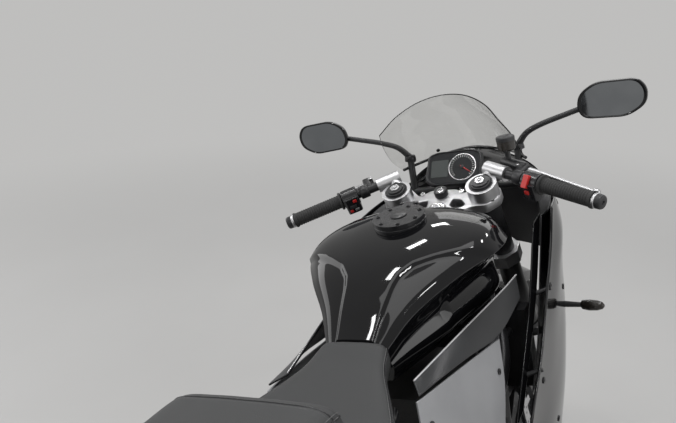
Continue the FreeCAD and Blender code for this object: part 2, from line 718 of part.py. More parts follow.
def handlebars():
    pairs = {"clip_ons": [], "handlebars": [], "grips": [], "switchgear": [], "hand_levers": []}
    clamp_height = FORK_LENGTH - TOP_YOKE - TOP_YOKE_HEIGHT - 2
    for side, word in SIDES:
        inner, outer, out = bar_line(side)
        base = on_leg(side, TOP_YOKE + TOP_YOKE_HEIGHT)
        ring = rod(f"clamp_ring_{word}", base, UP_FORK, OUTER_TUBE + 8, clamp_height)
        arm = rod_to(f"clamp_arm_{word}", base + UP_FORK * 15 + AHEAD_FORK * 20, inner + out * 6, 14)
        socket = rod(f"bar_socket_{word}", inner - out * 12, out, BAR + 6, 58)
        hole = rod(f"clamp_hole_{word}", base - UP_FORK * 10, UP_FORK, OUTER_TUBE + FIT, 80)
        bore = rod(f"bar_bore_{word}", inner, out, BAR + FIT, 80)
        whole = fused(f"clip_on_solid_{word}", [ring, arm, socket])
        pairs["clip_ons"].append(cut(f"clip_on_{word}", whole, [hole, bore]))
        tube = rod(f"bar_tube_{word}", inner, out, BAR, (outer - inner).Length)
        weight = rod(f"bar_weight_{word}", outer - out * 20, out, 15, 20)
        pairs["handlebars"].append(fused(f"handlebar_{word}", [tube, weight]))
        grip_start = outer - out * (20 + float(GRIP_LENGTH))
        grip = rod(f"grip_sleeve_{word}", grip_start, out, GRIP, GRIP_LENGTH)
        hole = rod(f"grip_hole_{word}", grip_start, out, BAR + FIT, GRIP_LENGTH)
        pairs["grips"].append(cut(f"grip_{word}", grip, [hole]))
        drum_at = grip_start - out * 42
        drum = rod(f"switch_drum_{word}", drum_at, out, 22, 40)
        box_at = drum_at + out * 7 - AHEAD_FORK * 16 - UP_FORK * 34 + Y * (0 if side > 0 else -30)
        box = block(f"switch_box_{word}", box_at, 34, 30, 52, -math.degrees(RAKE))
        hole = rod(f"switch_hole_{word}", drum_at - out * 20, out, BAR + FIT, 100)
        solid = fused(f"switch_solid_{word}", [drum, box])
        pairs["switchgear"].append(cut(f"switchgear_{word}", solid, [hole]))
        pairs["hand_levers"].append(lever(side, drum_at, out))
    for label, pieces in pairs.items():
        node(label, apart(label, pieces))


def lever(side, drum_at, out):
    """A lever on its perch; the right one also carries the master cylinder and its pot."""
    perch = drum_at - out * 28
    neck = Part.makeCylinder(10, 44, perch + out * 11, AHEAD_FORK)
    blade = ((32, 4, -2), (44, 42, -10), (46, 120, -17), (41, 196, -17))
    route = [perch + AHEAD_FORK * ahead + out * way + UP_FORK * up for ahead, way, up in blade]
    pieces = [neck, pipe(route, 6), Part.makeSphere(8.5, route[-1])]
    if side < 0:
        body = perch + AHEAD_FORK * 38
        pieces.append(Part.makeCylinder(12, 66, body - out * 44, out))
        pieces.append(Part.makeCylinder(7, 42, body - out * 26, Z))
        pieces.append(Part.makeCylinder(20, 30, body - out * 26 + Z * 30, Z))
    whole = Part.makeCylinder(16, 22, perch, out).fuse(pieces)
    return shaped("lever", whole.cut(Part.makeCylinder(float(BAR + FIT), 60, perch - out * 15, out)))


def front_brakes_and_guard():
    calipers = []
    near = FRONT_HUB / 2 + DISC_GAP + DISC / 2
    for side, word in SIDES:
        body = fork_block(f"caliper_block_{word}", side, -98, near - 20, 46, 48, 42, 120)
        slot = fork_block(f"caliper_slot_{word}", side, -110, near - 8, 30, 80, 16, 122)
        calipers.append(cut(f"front_caliper_{word}", body, [slot]))
    node("front_calipers", apart("front_calipers", calipers))
    rise = [(0, 20), (38, 16), (62, 4), (70, -20)]
    reach = float(FRONT_RADIUS)
    outer = [(-y, reach + r) for y, r in rise[:0:-1]] + [(y, reach + r) for y, r in rise]
    inner = [(y * 0.955, r - 3) for y, r in outer[::-1]]
    profile = [Vector(FRONT_AXLE.x, y, FRONT_AXLE.z + r) for y, r in outer + inner]
    face = Part.Face(Part.makePolygon(profile + profile[:1]))
    face.rotate(FRONT_AXLE, Y, 34)
    shell = face.revolve(FRONT_AXLE, Y, -112)
    stays = []
    for side in (LEFT, RIGHT):
        low = 68.0 if side > 0 else -75.5
        stay = Part.makeBox(28, 7.5, 100)
        corner = FRONT_AXLE - AHEAD_FORK * 14 + UP_FORK * 196 + Y * low
        stay.Placement = Placement(corner, Rotation(Y, -math.degrees(RAKE)))
        stays += [stay, Part.makeCylinder(10, 16, on_leg(side, 214) - Y * (side * 34), Y * side)]
    guard = shell.fuse(stays).cut([shape_of("fork_lowers"), shape_of("fork_outer_tubes")])
    node("front_mudguard", shaped("front_mudguard", biggest(guard)))


# Frame, engine and running gear

FRAME_UPPER = [(285, 138, 738), (-70, 150, 612), (-196, 154, 500)]
FRAME_LOWER = [(322, 141, 640), (-20, 154, 520), (-205, 162, 468)]
BRACES = [((300, 132, 740), (212, 138, 604)), ((135, 139, 684), (212, 138, 604)),
          ((90, 141, 668), (20, 146, 532)), ((-50, 145, 616), (20, 146, 532))]
SHOCK_TOP = Vector(-196, 0, 640)
SPROCKET_SHAFT = Vector(-118, 0, PIVOT.z)


def sided(side, corner):
    x, y, z = corner
    return Vector(x, side * y, z)


def upper_line(side):
    """The corners of an upper frame tube, from the head tube back."""
    start = on_stem(TOP_YOKE - 29) + Y * (side * 12)
    return [start] + [sided(side, corner) for corner in FRAME_UPPER]


def frame():
    low, high = BOTTOM_YOKE + BOTTOM_YOKE_HEIGHT + 5, TOP_YOKE - 5
    tube = rod("head_tube_bar", on_stem(low), UP_FORK, HEAD_TUBE, high - low)
    hole = rod("head_tube_hole", on_stem(low), UP_FORK, STEM + CLEAR, high - low)
    node("head_tube", cut("head_tube", tube, [hole]))
    head = cylinder(HEAD_TUBE, on_stem(low), on_stem(high))
    outer = float(ARM_INNER + ARM) + 2
    for side, word in SIDES:
        lower = [on_stem(low + 39) + Y * (side * 12)] + [sided(side, corner) for corner in FRAME_LOWER]
        pieces = [pipe(lower, FRAME_TUBE * 0.85)]
        pieces += [cylinder(11, sided(side, a), sided(side, b)) for a, b in BRACES]
        pieces.append(Part.makeBox(118, 14, 190, Vector(-292, outer if side > 0 else -outer - 14, 332)))
        pieces += [Part.makeCylinder(13, 30, Vector(x, side * float(ENGINE_HALF), z), Y * side)
                   for x, z in ((212, 606), (60, 545))]
        pieces.append(Part.makeCylinder(9, TANK_FLOOR - 669, Vector(130, side * 130, 669), Z))
        pin_hole = Part.makeCylinder(float(AXLE + FIT), 400, PIVOT - Y * 200, Y)
        whole = pipe(upper_line(side), FRAME_TUBE).fuse(pieces).cut([head, pin_hole])
        node(f"frame_{word}", shaped(f"frame_{word}", biggest(whole)))
    half = outer + 16
    pin = rod("pivot_bar", PIVOT - Y * half, Y, AXLE, 2 * half)
    caps = [rod(f"pivot_cap_{word}", PIVOT + Y * (side * (outer + 14)), Y * side, AXLE + 7, 8)
            for side, word in SIDES]
    bore = rod("pivot_bore", PIVOT - Y * 200, Y, AXLE_BORE, 400)
    node("swingarm_pivot", cut("swingarm_pivot", fused("pivot_solid", [pin] + caps), [bore]))


def engine():
    case = block("crankcase", Vector(-160, -float(CRANKCASE_HALF), 268), 390, CRANKCASE_HALF * 2, 202)
    head = block("cylinders", Vector(40, -float(ENGINE_HALF), 460), 210, ENGINE_HALF * 2, 190)
    pocket_face = CHAIN_PLACE - CHAIN_WIDTH / 2 - 6
    pocket = block("sprocket_pocket", SPROCKET_SHAFT + Vector(-60, float(pocket_face), -72), 112, 90, 124)
    sides = []
    for name, side, x, z, radius, deep in (("clutch_cover", RIGHT, 20, 350, 74, 26),
                                           ("alternator_cover", LEFT, 76, 345, 64, 24)):
        base = Vector(x, side * float(CRANKCASE_HALF), z)
        sides.append(rod(name + "_rim", base, Y * side, radius, deep - 8))
        sides.append(rod(name + "_lid", base, Y * side, radius - 14, deep))
    shaft_start = SPROCKET_SHAFT + Y * float(pocket_face)
    sides.append(rod("sprocket_shaft", shaft_start, Y, 14, 6))
    chain_start = SPROCKET_SHAFT + Y * float(CHAIN_PLACE - CHAIN_WIDTH / 2)
    small = rod("front_sprocket", chain_start, Y, CHAIN_FRONT - CHAIN_DEPTH / 2 - FIT, CHAIN_WIDTH)
    node("engine", fused("engine", [cut("engine_case", fused("engine_blocks", [case, head]), [pocket]),
                                    small] + sides))
    core = Part.makeBox(32, 316, 200, Vector(352, -158, 498))
    tanks = [Part.makeBox(40, 18, 188, Vector(348, y, 504)) for y in (-176, 158)]
    stubs = [Part.makeCylinder(8, 70, Vector(360, side * 134, 640), -X) for side, word in SIDES]
    whole = core.fuse(tanks + stubs).cut([shape_of("frame_left"), shape_of("frame_right")])
    node("radiator", shaped("radiator", biggest(whole)))


def exhaust():
    routes = []
    for y in (-78, 0, 78):
        route = [Vector(250, y, 556), Vector(306, y, 536), Vector(322, y, 440), Vector(316, y, 320),
                 Vector(262, y * 0.6, 240), Vector(170, y * 0.56, 222)]
        routes.append(route)
    rings = []
    for x, half, top in ((-236, 62, 248), (-210, 92, 260), (150, 92, 260), (170, 78, 252)):
        widths = (half - 24, half, half, half - 16, 0)
        rings.append(domed_ring(x, widths, (178, 200, top - 14, top, top)))
    hangers = [Part.makeCylinder(9, 14, Vector(x, 0, 254), Z) for x in (-60, 100)]
    outlet = Vector(-330, -146, 240)
    tip = pipe([Vector(-150, -70, 222), Vector(-236, -112, 224), outlet], 27)
    bore = Part.makeCylinder(21, 70, outlet, Vector(1, 0.36, -0.17))
    whole = ring_solid(rings).fuse(hangers + [tip]).cut(bore)
    node("silencer", shaped("silencer", biggest(whole)))
    against = [shape_of("engine"), shape_of("silencer")]
    pipes = [biggest(pipe(route, HEADER).cut(against)) for route in routes]
    node("exhaust_headers", shaped("exhaust_headers", Part.makeCompound(pipes)))


def swingarm():
    along = (REAR_AXLE - PIVOT).normalize()
    upward = Vector(along.z, 0, -along.x)
    reach = PIVOT.distanceToPoint(REAR_AXLE)
    near, far = float(ARM_INNER), float(ARM_INNER + ARM)
    stations = ((-34, 0.36), (30, 0.5), (reach * 0.45, 0.62), (reach - 60, 0.45), (reach + 42, 0.32))
    arms = []
    for side in (LEFT, RIGHT):
        rings = []
        for distance, share in stations:
            middle = PIVOT + along * distance
            rings.append([middle + Y * (side * y) + upward * (float(ARM_DEPTH) * share * sign)
                          for y, sign in ((near, -1), (far, -1), (far, 1), (near, 1))])
        arms.append(ring_solid(rings))
    brace_at = PIVOT + along * 78
    pieces = [arms[1], Part.makeCylinder(22, 2 * near + 4, PIVOT - Y * (near + 2), Y)]
    pieces.append(Part.makeBox(52, 2 * near + 4, 30, brace_at + Vector(-26, -near - 2, -20)))
    pieces.append(Part.makeBox(40, 30, 26, brace_at + Vector(-20, -15, 8)))
    holes = [Part.makeCylinder(float(AXLE + FIT), 400, centre - Y * 200, Y) for centre in (PIVOT, REAR_AXLE)]
    spools = []
    for side in (LEFT, RIGHT):
        seat = REAR_AXLE - along * 92 + Y * (side * (far + float(CLEAR)))
        spool = Part.makeCylinder(13, float(SPOOL), seat, Y * side)
        spools.append(spool.cut(Part.makeCylinder(float(BOBBIN), float(SPOOL), seat, Y * side)))
    whole = Part.makeCompound([biggest(arms[0].fuse(pieces).cut(holes))] + spools)
    node("swingarm", shaped("swingarm", whole))
    foot = brace_at + Z * 30
    line = (SHOCK_TOP - foot).normalize()
    eye = Part.makeCylinder(15, 34, SHOCK_TOP - Y * 17, Y)
    spring = Part.makeCylinder(33, (SHOCK_TOP - foot).Length - 76, foot + line * 30, line)
    shock = cylinder(12, foot, SHOCK_TOP).fuse([spring, eye]).cut(shape_of("swingarm"))
    node("rear_shock", shaped("rear_shock", biggest(shock)))
    halves = []
    for side, word in SIDES:
        bar = Part.makeCylinder(14, 75, SHOCK_TOP + Y * (side * 17), Y * side)
        drop = cylinder(11, SHOCK_TOP + Y * (side * 86), Vector(-140, side * 150, 566))
        halves.append(biggest(bar.fuse(drop).cut(shape_of(f"frame_{word}"))))
    node("shock_mounts", shaped("shock_mounts", Part.makeCompound(halves)))


def belt(front, front_radius, rear_radius):
    """A flat loop round two circles, as wide as the chain, filled."""
    span = front - REAR_AXLE
    forward = span.normalize()
    upward = Vector(-forward.z, 0, forward.x)
    tilt = math.asin((rear_radius - front_radius) / front.distanceToPoint(REAR_AXLE))
    over = upward * math.cos(tilt) + forward * math.sin(tilt)
    under = upward * -math.cos(tilt) + forward * math.sin(tilt)
    edges = [
        Part.Arc(front + over * front_radius, front + forward * front_radius, front + under * front_radius),
        Part.LineSegment(front + under * front_radius, REAR_AXLE + under * rear_radius),
        Part.Arc(REAR_AXLE + under * rear_radius, REAR_AXLE - forward * rear_radius,
                 REAR_AXLE + over * rear_radius),
        Part.LineSegment(REAR_AXLE + over * rear_radius, front + over * front_radius),
    ]
    face = Part.Face(Part.Wire([edge.toShape() for edge in edges]))
    face.translate(Y * (float(CHAIN_PLACE) - float(CHAIN_WIDTH) / 2))
    return face.extrude(Y * float(CHAIN_WIDTH))


def chain():
    """The drive chain's loop of links as one band, clear of the sprocket that turns inside it."""
    depth = float(CHAIN_DEPTH) / 2
    rear = float(SPROCKET + CHAIN_CLEARANCE) + depth
    radius = float(CHAIN_FRONT)
    outer = belt(SPROCKET_SHAFT, radius + depth, rear + depth)
    node("chain", shaped("chain", outer.cut(belt(SPROCKET_SHAFT, radius - depth, rear - depth))))


# Body panels, each table with its corners as (x, y, z) on the left side

SIDE_FAIRING = [  # from the top edge down, each row from the front back to the sloping rear edge
    [(668, 170, 918), (610, 205, 905), (540, 232, 893), (460, 240, 886)],
    [(656, 198, 830), (590, 226, 822), (500, 243, 812), (384, 243, 815)],
    [(686, 162, 738), (590, 215, 738), (450, 240, 738), (305, 240, 740)],
    [(640, 190, 655), (540, 222, 655), (400, 236, 655), (209, 236, 650)],
    [(590, 200, 575), (490, 224, 575), (330, 232, 573), (126, 226, 572)],
    [(520, 205, 470), (420, 220, 470), (280, 222, 470), (110, 205, 470)],
    [(450, 195, 360), (360, 205, 360), (240, 200, 360), (90, 182, 360)],
]
NOSE = [  # from the front back, each row from the top middle down the left side
    [(838, 0, 858), (834, 30, 856), (826, 58, 842), (822, 62, 818), (826, 40, 792)],
    [(800, 0, 902), (796, 55, 894), (784, 112, 868), (776, 120, 822), (786, 85, 768)],
    [(750, 0, 950), (745, 80, 936), (730, 148, 892), (722, 160, 826), (735, 120, 752)],
    [(703, 0, 984), (692, 92, 965), (672, 168, 919), (660, 196, 830), (690, 160, 738)],
]
SCREEN = [  # from the base up and back to the rear edge, each row from the middle to the left
    [(705, 0, 985), (696, 60, 979), (664, 118, 971), (606, 160, 966)],
    [(664, 0, 1040), (652, 62, 1034), (616, 122, 1020), (560, 164, 1000)],
    [(612, 0, 1104), (600, 62, 1098), (564, 120, 1078), (515, 160, 1050)],
    [(558, 0, 1153), (547, 58, 1146), (516, 112, 1122), (482, 148, 1089)],
]
COCKPIT = [  # from the fairing's top edge in to the instrument, each row from the front back
    [(658, 158, 913), (604, 194, 900), (540, 221, 888), (470, 228, 879)],
    [(640, 112, 940), (600, 146, 922), (552, 186, 884), (486, 206, 858)],
]
BELLY = [  # stations from the front back, each row from the bottom middle out and up to the left
    [(340, 0, 152), (360, 112, 180), (410, 165, 262), (449, 194, 356)],
    [(270, 0, 144), (290, 130, 176), (330, 180, 262), (360, 204, 356)],
    [(180, 0, 140), (200, 130, 172), (220, 178, 262), (240, 199, 356)],
    [(40, 0, 140), (45, 122, 170), (60, 162, 262), (90, 181, 356)],
]
DARK_PANEL = [  # between the tank and the silver panel, each row from the front back
    [(290, 188, 800), (220, 181, 801), (60, 154, 800), (-125, 122, 797)],
    [(270, 196, 758), (142, 186, 744), (-5, 168, 771), (-158, 144, 794)],
]
SILVER_PANEL = [  # the light cover over the frame, each row from the front back
    [(138, 184, 735), (-10, 166, 762), (-166, 143, 786)],
    [(110, 190, 660), (-30, 180, 680), (-200, 158, 700)],
    [(70, 190, 585), (-60, 184, 600), (-230, 172, 600)],
]
VENT_STRIP = [  # the inner strip along the fairing's rear edge, from the top down
    [(468, 210, 872), (330, 214, 742), (150, 204, 574)],
    [(425, 204, 862), (288, 206, 728), (106, 198, 558)],
]
TANK_FLOOR = 765
FILLER = Vector(197, 0, 950)
FILLER_UP = Vector(-0.1, 0, 1).normalize()
FILLER_AHEAD = Vector(1, 0, 0.1).normalize()
LID_HINGE = FILLER + FILLER_UP * 22 + FILLER_AHEAD * 62
LID_AXIS = Y
TANK = [  # x, waist half width, shoulder half width, shoulder height, top height
    (-77, 66, 68, 826, 843),
    (-20, 86, 98, 862, 886),
    (60, 112, 156, 896, 930),
    (148, 136, 203, 908, 956),
    (230, 152, 202, 904, 966),
    (292, 152, 176, 896, 958),
    (328, 122, 128, 882, 930),
]
RIDER_SEAT = [  # x, half width, bottom, top
    (-77.3, 66, 790, 842),
    (-130, 78, 786, 826),
    (-200, 116, 780, 813),
    (-270, 150, 776, 809),
    (-318, 154, 776, 818),
    (-352, 150, 780, 850),
]
PILLION_SEAT = [  # x, half width, bottom, top
    (-352.3, 128, 851, 893),
    (-368, 138, 850, 912),
    (-470, 132, 852, 926),
    (-580, 112, 862, 944),
    (-690, 84, 880, 958),
    (-716, 66, 896, 952),
]
TAIL = [  # x, half width, bottom, top
    (-175, 112, 752, 779.7),
    (-270, 142, 742, 775.7),
    (-318, 144, 741, 775.7),
    (-352, 146, 740, 779.7),
    (-352.2, 146, 740, 849.7),
    (-470, 134, 748, 851.7),
    (-580, 116, 780, 861.7),
    (-690, 92, 820, 879.7),
    (-716.1, 85, 831, 883),
    (-716.3, 84, 832, 950),
    (-800, 66, 872, 962),
    (-842, 44, 912, 958),
]
VENT_RIBS = [((330, 206, 738), (340, 246, 748)), ((200, 200, 620), (210, 240, 630))]
MIRROR_BASE = (623, 142, 990)
STAND_AXIS = Vector(0, 0.925, 0.38)
STAND_PIVOT = Vector(-40, 130, 237)
PLATE_ARM = [  # x, half width, bottom, top
    (-700, 34, 800, 845),
    (-850, 30, 752, 800),
    (-1010, 24, 620, 662),
]
BRACKETS = [  # from, to, radius, on the left side
    ((603, 128, 907), (600, 232, 850), 7),
    ((603, 132, 905), (700, 176, 850), 7),
    ((366, 150, 620), (380, 244, 640), 8),
    ((150, 130, 420), (150, 232, 430), 8),
    ((190, 120, 330), (190, 215, 332), 8),
    ((210, 138, 700), (212, 200, 780), 7),
    ((20, 142, 640), (20, 200, 680), 7),
    ((-105, 152, 590), (-108, 190, 650), 7),
]
HEADLAMP = [(36, 822), (84, 846), (128, 876), (136, 860), (118, 826), (60, 806)]
INTAKE = [(-26, 806), (26, 806), (22, 842), (-22, 842)]


def soft_ring(x, half, bottom, top):
    """A cushion's section: flat below, with a rounded edge above."""
    drop = top - bottom
    widths = (half * 0.94, half, half * 0.97, half * 0.84, half * 0.45, 0)
    heights = (bottom, bottom + drop * 0.3, top - drop * 0.3, top - drop * 0.1, top - drop * 0.02, top)
    return domed_ring(x, widths, heights)


def tank_ring(x, waist, shoulder, shoulder_z, top):
    """A tank section: flat floor, pinched knee recess, broad shoulder and domed top."""
    rise = top - shoulder_z
    widths = (waist * 0.9, waist, waist * 0.98, shoulder, shoulder * 0.86, shoulder * 0.48, 0)
    heights = (TANK_FLOOR, TANK_FLOOR + 22, (TANK_FLOOR + shoulder_z) / 2 + 8, shoulder_z,
               shoulder_z + rise * 0.56, shoulder_z + rise * 0.92, top)
    return domed_ring(x, widths, heights)


def tail_ring(x, half, bottom, top):
    widths = (half * 0.62, half * 0.9, half, half * 0.96, 0)
    heights = (bottom, bottom + (top - bottom) * 0.25, bottom + (top - bottom) * 0.7, top, top)
    return domed_ring(x, widths, heights)


def tank_and_seats():
    tank = ring_solid([tank_ring(*station) for station in TANK])
    collar = Part.makeCylinder(float(CAP) + 8, 17, FILLER, FILLER_UP)
    ears = [Part.makeCylinder(5, 6, LID_HINGE + Y * (side * 14), Y * side) for side in (LEFT, RIGHT)]
    ears += [Part.makeBox(10, 6, 20, LID_HINGE + Vector(-5, y, -20)) for y in (14, -20)]
    ears.append(Part.makeCylinder(2.5, 30, LID_HINGE - Y * 15, Y))
    tunnels = [pipe(upper_line(side), FRAME_TUBE + 3) for side in (LEFT, RIGHT)]
    well = Part.makeCylinder(float(CAP), 40, FILLER, FILLER_UP)
    node("fuel_tank", shaped("fuel_tank", biggest(tank.fuse(collar).cut([well] + tunnels).fuse(ears))))
    plate = Part.makeCylinder(float(CAP) + 8, 9, FILLER + FILLER_UP * (17 + float(CLEAR)), FILLER_UP)
    tongue = Part.makeBox(32, 24, 9)
    corner = FILLER + FILLER_UP * (17 + float(CLEAR)) + FILLER_AHEAD * 36 - Y * 12
    tongue.Placement = Placement(corner, Rotation(Z, FILLER_UP))
    hole = Part.makeCylinder(2.5 + float(CLEAR), 60, LID_HINGE - Y * 30, Y)
    node("fuel_cap", shaped("fuel_cap", plate.fuse(tongue).cut(hole)))
    node("rider_seat", shaped("rider_seat", ring_solid([soft_ring(*s) for s in RIDER_SEAT])))
    node("pillion_seat", shaped("pillion_seat", ring_solid([soft_ring(*s) for s in PILLION_SEAT])))
    node("tail_cowl", shaped("tail_cowl", ring_solid([tail_ring(*s) for s in TAIL])))


def lamp_prism(corners, grow):
    """A front-view outline carried along the bike, grown a little about its own middle."""
    count = len(corners)
    middle = Vector(640, sum(y for y, z in corners) / count, sum(z for y, z in corners) / count)
    ring = []
    for y, z in corners:
        corner = Vector(640, y, z)
        ring.append(corner + (corner - middle).normalize() * grow)
    return Part.Face(Part.makePolygon(ring + ring[:1])).extrude(X * 260)


def nose_and_screen():
    grid = facing(across(NOSE), Z)
    shell = sheet_solid(grid, PANEL)
    deep = sheet_solid(grid, 22)
    lamps = []
    for side in (LEFT, RIGHT):
        corners = [(side * y, z) for y, z in HEADLAMP]
        shell = shell.cut(lamp_prism(corners, float(CLEAR)))
        lamps.append(biggest(deep.common(lamp_prism(corners, 0))))
    node("headlamps", shaped("headlamps", Part.makeCompound(lamps)))
    shell = biggest(shell.cut(lamp_prism(INTAKE, 0)))
    node("nose_cowl", shaped("nose_cowl", shell))
    screen = sheet_solid(facing(across(SCREEN), Z), SCREEN_WALL)
    feet = [cylinder(18, sided(side, MIRROR_BASE) - Z * 30, sided(side, MIRROR_BASE) + Z * 30)
            for side in (LEFT, RIGHT)]
    node("windscreen", shaped("windscreen", biggest(screen.cut([shell] + feet))))


def panel(rows, outward=Y):
    """A left-hand panel from a table of corners."""
    return sheet_solid(facing(corners_of(rows), outward), PANEL)


def fairings():
    outer, strip = panel(SIDE_FAIRING), panel(VENT_STRIP)
    ribs = [strut(Vector(*a), Vector(*b), 5, [outer, strip]) for a, b in VENT_RIBS]
    whole = outer.fuse([strip] + ribs)
    for side, word in SIDES:
        node(f"side_fairing_{word}", shaped(f"side_fairing_{word}", for_side(side, whole)))
    for label, rows, outward in (("cockpit_panels", COCKPIT, Z), ("dark_side_panels", DARK_PANEL, Y),
                                 ("silver_side_panels", SILVER_PANEL, Y)):
        left = panel(rows, outward)
        pair = Part.makeCompound([for_side(side, left) for side, word in SIDES])
        node(label, shaped(label, pair))
    node("belly_pan", shaped("belly_pan", sheet_solid(facing(across(BELLY), -Z), PANEL)))


# Cockpit, mirrors, lights and tail


def cockpit():
    neck_start = on_stem(600) + AHEAD_FORK * (float(HEAD_TUBE) - 4)
    pieces = [cylinder(10, Vector(603, -140, 907), Vector(603, 140, 907))]
    for side in (LEFT, RIGHT):
        base = sided(side, MIRROR_BASE)
        pieces.append(cylinder(9, Vector(603, side * 136, 907), base))
        pieces.append(Part.makeCylinder(15, 6, base - Z * 3, Z))
    pieces.append(cylinder(8, Vector(603, 0, 907), Vector(560, 0, 963)))
    neck = cylinder(14, neck_start, Vector(603, 0, 907)).cut(
        cylinder(HEAD_TUBE, on_stem(540), on_stem(660)))
    dial = Part.makeBox(28, 150, 92, Vector(-14, -75, -46))
    dial.Placement = Placement(Vector(556, 0, 968), Rotation(Y, 36.87))
    against = [shape_of(label) for label in ("windscreen", "nose_cowl", "cockpit_panels")]
    stay = biggest(neck.fuse(pieces).cut([dial] + against))
    node("fairing_stay", shaped("fairing_stay", stay))
    node("instrument", shaped("instrument", dial))


def mirrors():
    pair = []
    outline_points = [(-76, -14), (-62, -38), (30, -44), (70, -22), (76, 12), (58, 38), (-30, 42), (-68, 20)]
    for side, word in SIDES:
        base = sided(side, MIRROR_BASE) + Z * 3
        centre = Vector(601, side * float(MIRROR), 1083)
        rings = []
        for depth, grow in ((-12, 0.96), (-8, 1.0), (8, 0.9), (22, 0.5)):
            rings.append([centre + Vector(depth, side * y * grow, z * grow) for y, z in outline_points])
        stem = pipe([base, base + Vector(-4, side * 30, 34), centre + Vector(12, side * -90, -22),
                     centre + Vector(10, side * -20, -6)], 7)
        foot = Part.makeCylinder(14, 7, base, Z)
        pair.append(ring_solid(rings).fuse([stem, foot]).cut(shape_of("fairing_stay")))
    node("mirrors", shaped("mirrors", Part.makeCompound(pair)))


def lights_and_plate():
    signals = []
    for side, word in SIDES:
        front = cylinder(6, Vector(516, side * 220, 626), Vector(512, side * 264, 626))
        front = front.fuse(cylinder(13, Vector(512, side * 260, 626), Vector(500, side * 312, 628)))
        signals.append(biggest(front.cut(shape_of(f"side_fairing_{word}"))))
    hanger = ring_solid([[Vector(x, y, z) for y, z in ((-half, low), (half, low), (half, high), (-half, high))]
                         for x, half, low, high in PLATE_ARM])
    board = Part.makeBox(5, 190, 140, Vector(-2.5, -95, -70))
    board.Placement = Placement(Vector(-1030, 0, 606), Rotation(Y, 28))
    hanger = hanger.fuse(board).cut(shape_of("tail_cowl"))
    hanger = biggest(hanger)
    for side in (LEFT, RIGHT):
        rear = cylinder(6, Vector(-925, 0, 700), Vector(-925, side * 76, 702))
        rear = rear.fuse(cylinder(13, Vector(-925, side * 70, 702), Vector(-931, side * 122, 704)))
        signals.append(biggest(rear.cut(hanger)))
    node("indicators", shaped("indicators", Part.makeCompound(signals)))
    node("plate_hanger", shaped("plate_hanger", hanger))
    lamp = ring_solid([domed_ring(x, (half * 0.8, half, half, half * 0.9, 0),
                                  (low, low + 8, high - 8, high, high))
                       for x, half, low, high in ((-842.3, 40, 915, 955), (-858, 34, 919, 953))])
    node("tail_light", shaped("tail_light", lamp))


def rear_frame_and_pegs():
    rails, rests = [], []
    tail = shape_of("tail_cowl")
    outer = float(ARM_INNER + ARM) + 16
    for side, word in SIDES:
        against = [shape_of(f"frame_{word}"), tail]
        rails.append(strut(Vector(-60, side * 146, 616), Vector(-330, side * 104, 770), RAIL, against))
        rails.append(strut(Vector(-214, side * 158, 515), Vector(-430, side * 96, 770), RAIL, against))
        plate = Part.makeBox(84, 8, 108, Vector(-342, outer if side > 0 else -outer - 8, 360))
        peg = Part.makeCylinder(float(PEG), float(PEG_LENGTH), Vector(-306, side * (outer + 7), 384), Y * side)
        boss = Part.makeCylinder(11, 24, Vector(-264, side * (outer + 6), 372), Y * side)
        arm = pipe([Vector(-264, side * (outer + 22), 372), Vector(-190, side * (outer + 26), 352),
                    Vector(-128, side * (outer + 28), 356)], 6)
        toe = Part.makeCylinder(8, 42, Vector(-128, side * (outer + 24), 356), Y * side)
        rests.append(plate.fuse([peg, boss, arm, toe]))
        drop = cylinder(9, Vector(-466, side * 104, 770), Vector(-460, side * 146, 590))
        step = Part.makeCylinder(float(PEG), float(PEG_LENGTH), Vector(-460, side * 140, 590), Y * side)
        rests.append(biggest(drop.fuse(step).cut(tail)))
    node("subframe", shaped("subframe", Part.makeCompound(rails)))
    node("footrests", shaped("footrests", Part.makeCompound(rests)))


def rear_brake_and_hugger():
    near = float(REAR_HUB) / 2 + float(size("rear_disc_gap")) + float(DISC) / 2
    arm = float(ARM_INNER)
    at = REAR_AXLE + Vector(0, -near, 0)
    body = Part.makeBox(76, arm - near + 15.7, 62, at + Vector(-12, near - arm + 0.3, 64))
    slot = Part.makeBox(120, 16, 102, at + Vector(-40, -8, 14))
    bridge = Part.makeBox(76, arm - near + 15.7, 12, at + Vector(-12, near - arm + 0.3, 116))
    bracket = Part.makeBox(34, 8, 80, Vector(at.x + 24, -arm, at.z + 4))
    caliper = body.cut(slot).fuse([bridge, bracket]).cut(shape_of("swingarm"))
    node("rear_caliper", shaped("rear_caliper", biggest(caliper)))
    rise = [(0, 16), (50, 8), (78, -10), (90, -36)]
    reach = float(REAR_RADIUS)
    outer = [(-y, reach + r) for y, r in rise[:0:-1]] + [(y, reach + r) for y, r in rise]
    inner = [(y * 0.965, r - 3) for y, r in outer[::-1]]
    profile = [Vector(REAR_AXLE.x, y, REAR_AXLE.z + r) for y, r in outer + inner]
    face = Part.Face(Part.makePolygon(profile + profile[:1]))
    face.rotate(REAR_AXLE, Y, 76)
    shell = face.revolve(REAR_AXLE, Y, -66)
    along = (REAR_AXLE - PIVOT).normalize()
    legs = [pipe([PIVOT + along * 208 + Y * (side * 132), Vector(-470, side * 132, 472),
                  Vector(-489, side * 89, 488)], 6) for side in (LEFT, RIGHT)]
    hugger = shell.fuse(legs).cut(shape_of("swingarm"))
    node("rear_hugger", shaped("rear_hugger", biggest(hugger)))


def brackets():
    """Short struts that hold the panels, each ending flush on what it meets."""
    holders = ["frame_left", "engine", "radiator", "fairing_stay", "nose_cowl", "side_fairing_left",
               "dark_side_panels", "silver_side_panels", "belly_pan", "cockpit_panels"]
    against = [shape_of(label) for label in holders]
    left = [strut(Vector(*a), Vector(*b), radius, against) for a, b, radius in BRACKETS]
    pieces = [for_side(side, piece) for side in (LEFT, RIGHT) for piece in left]
    node("panel_brackets", shaped("panel_brackets", Part.makeCompound(pieces)))


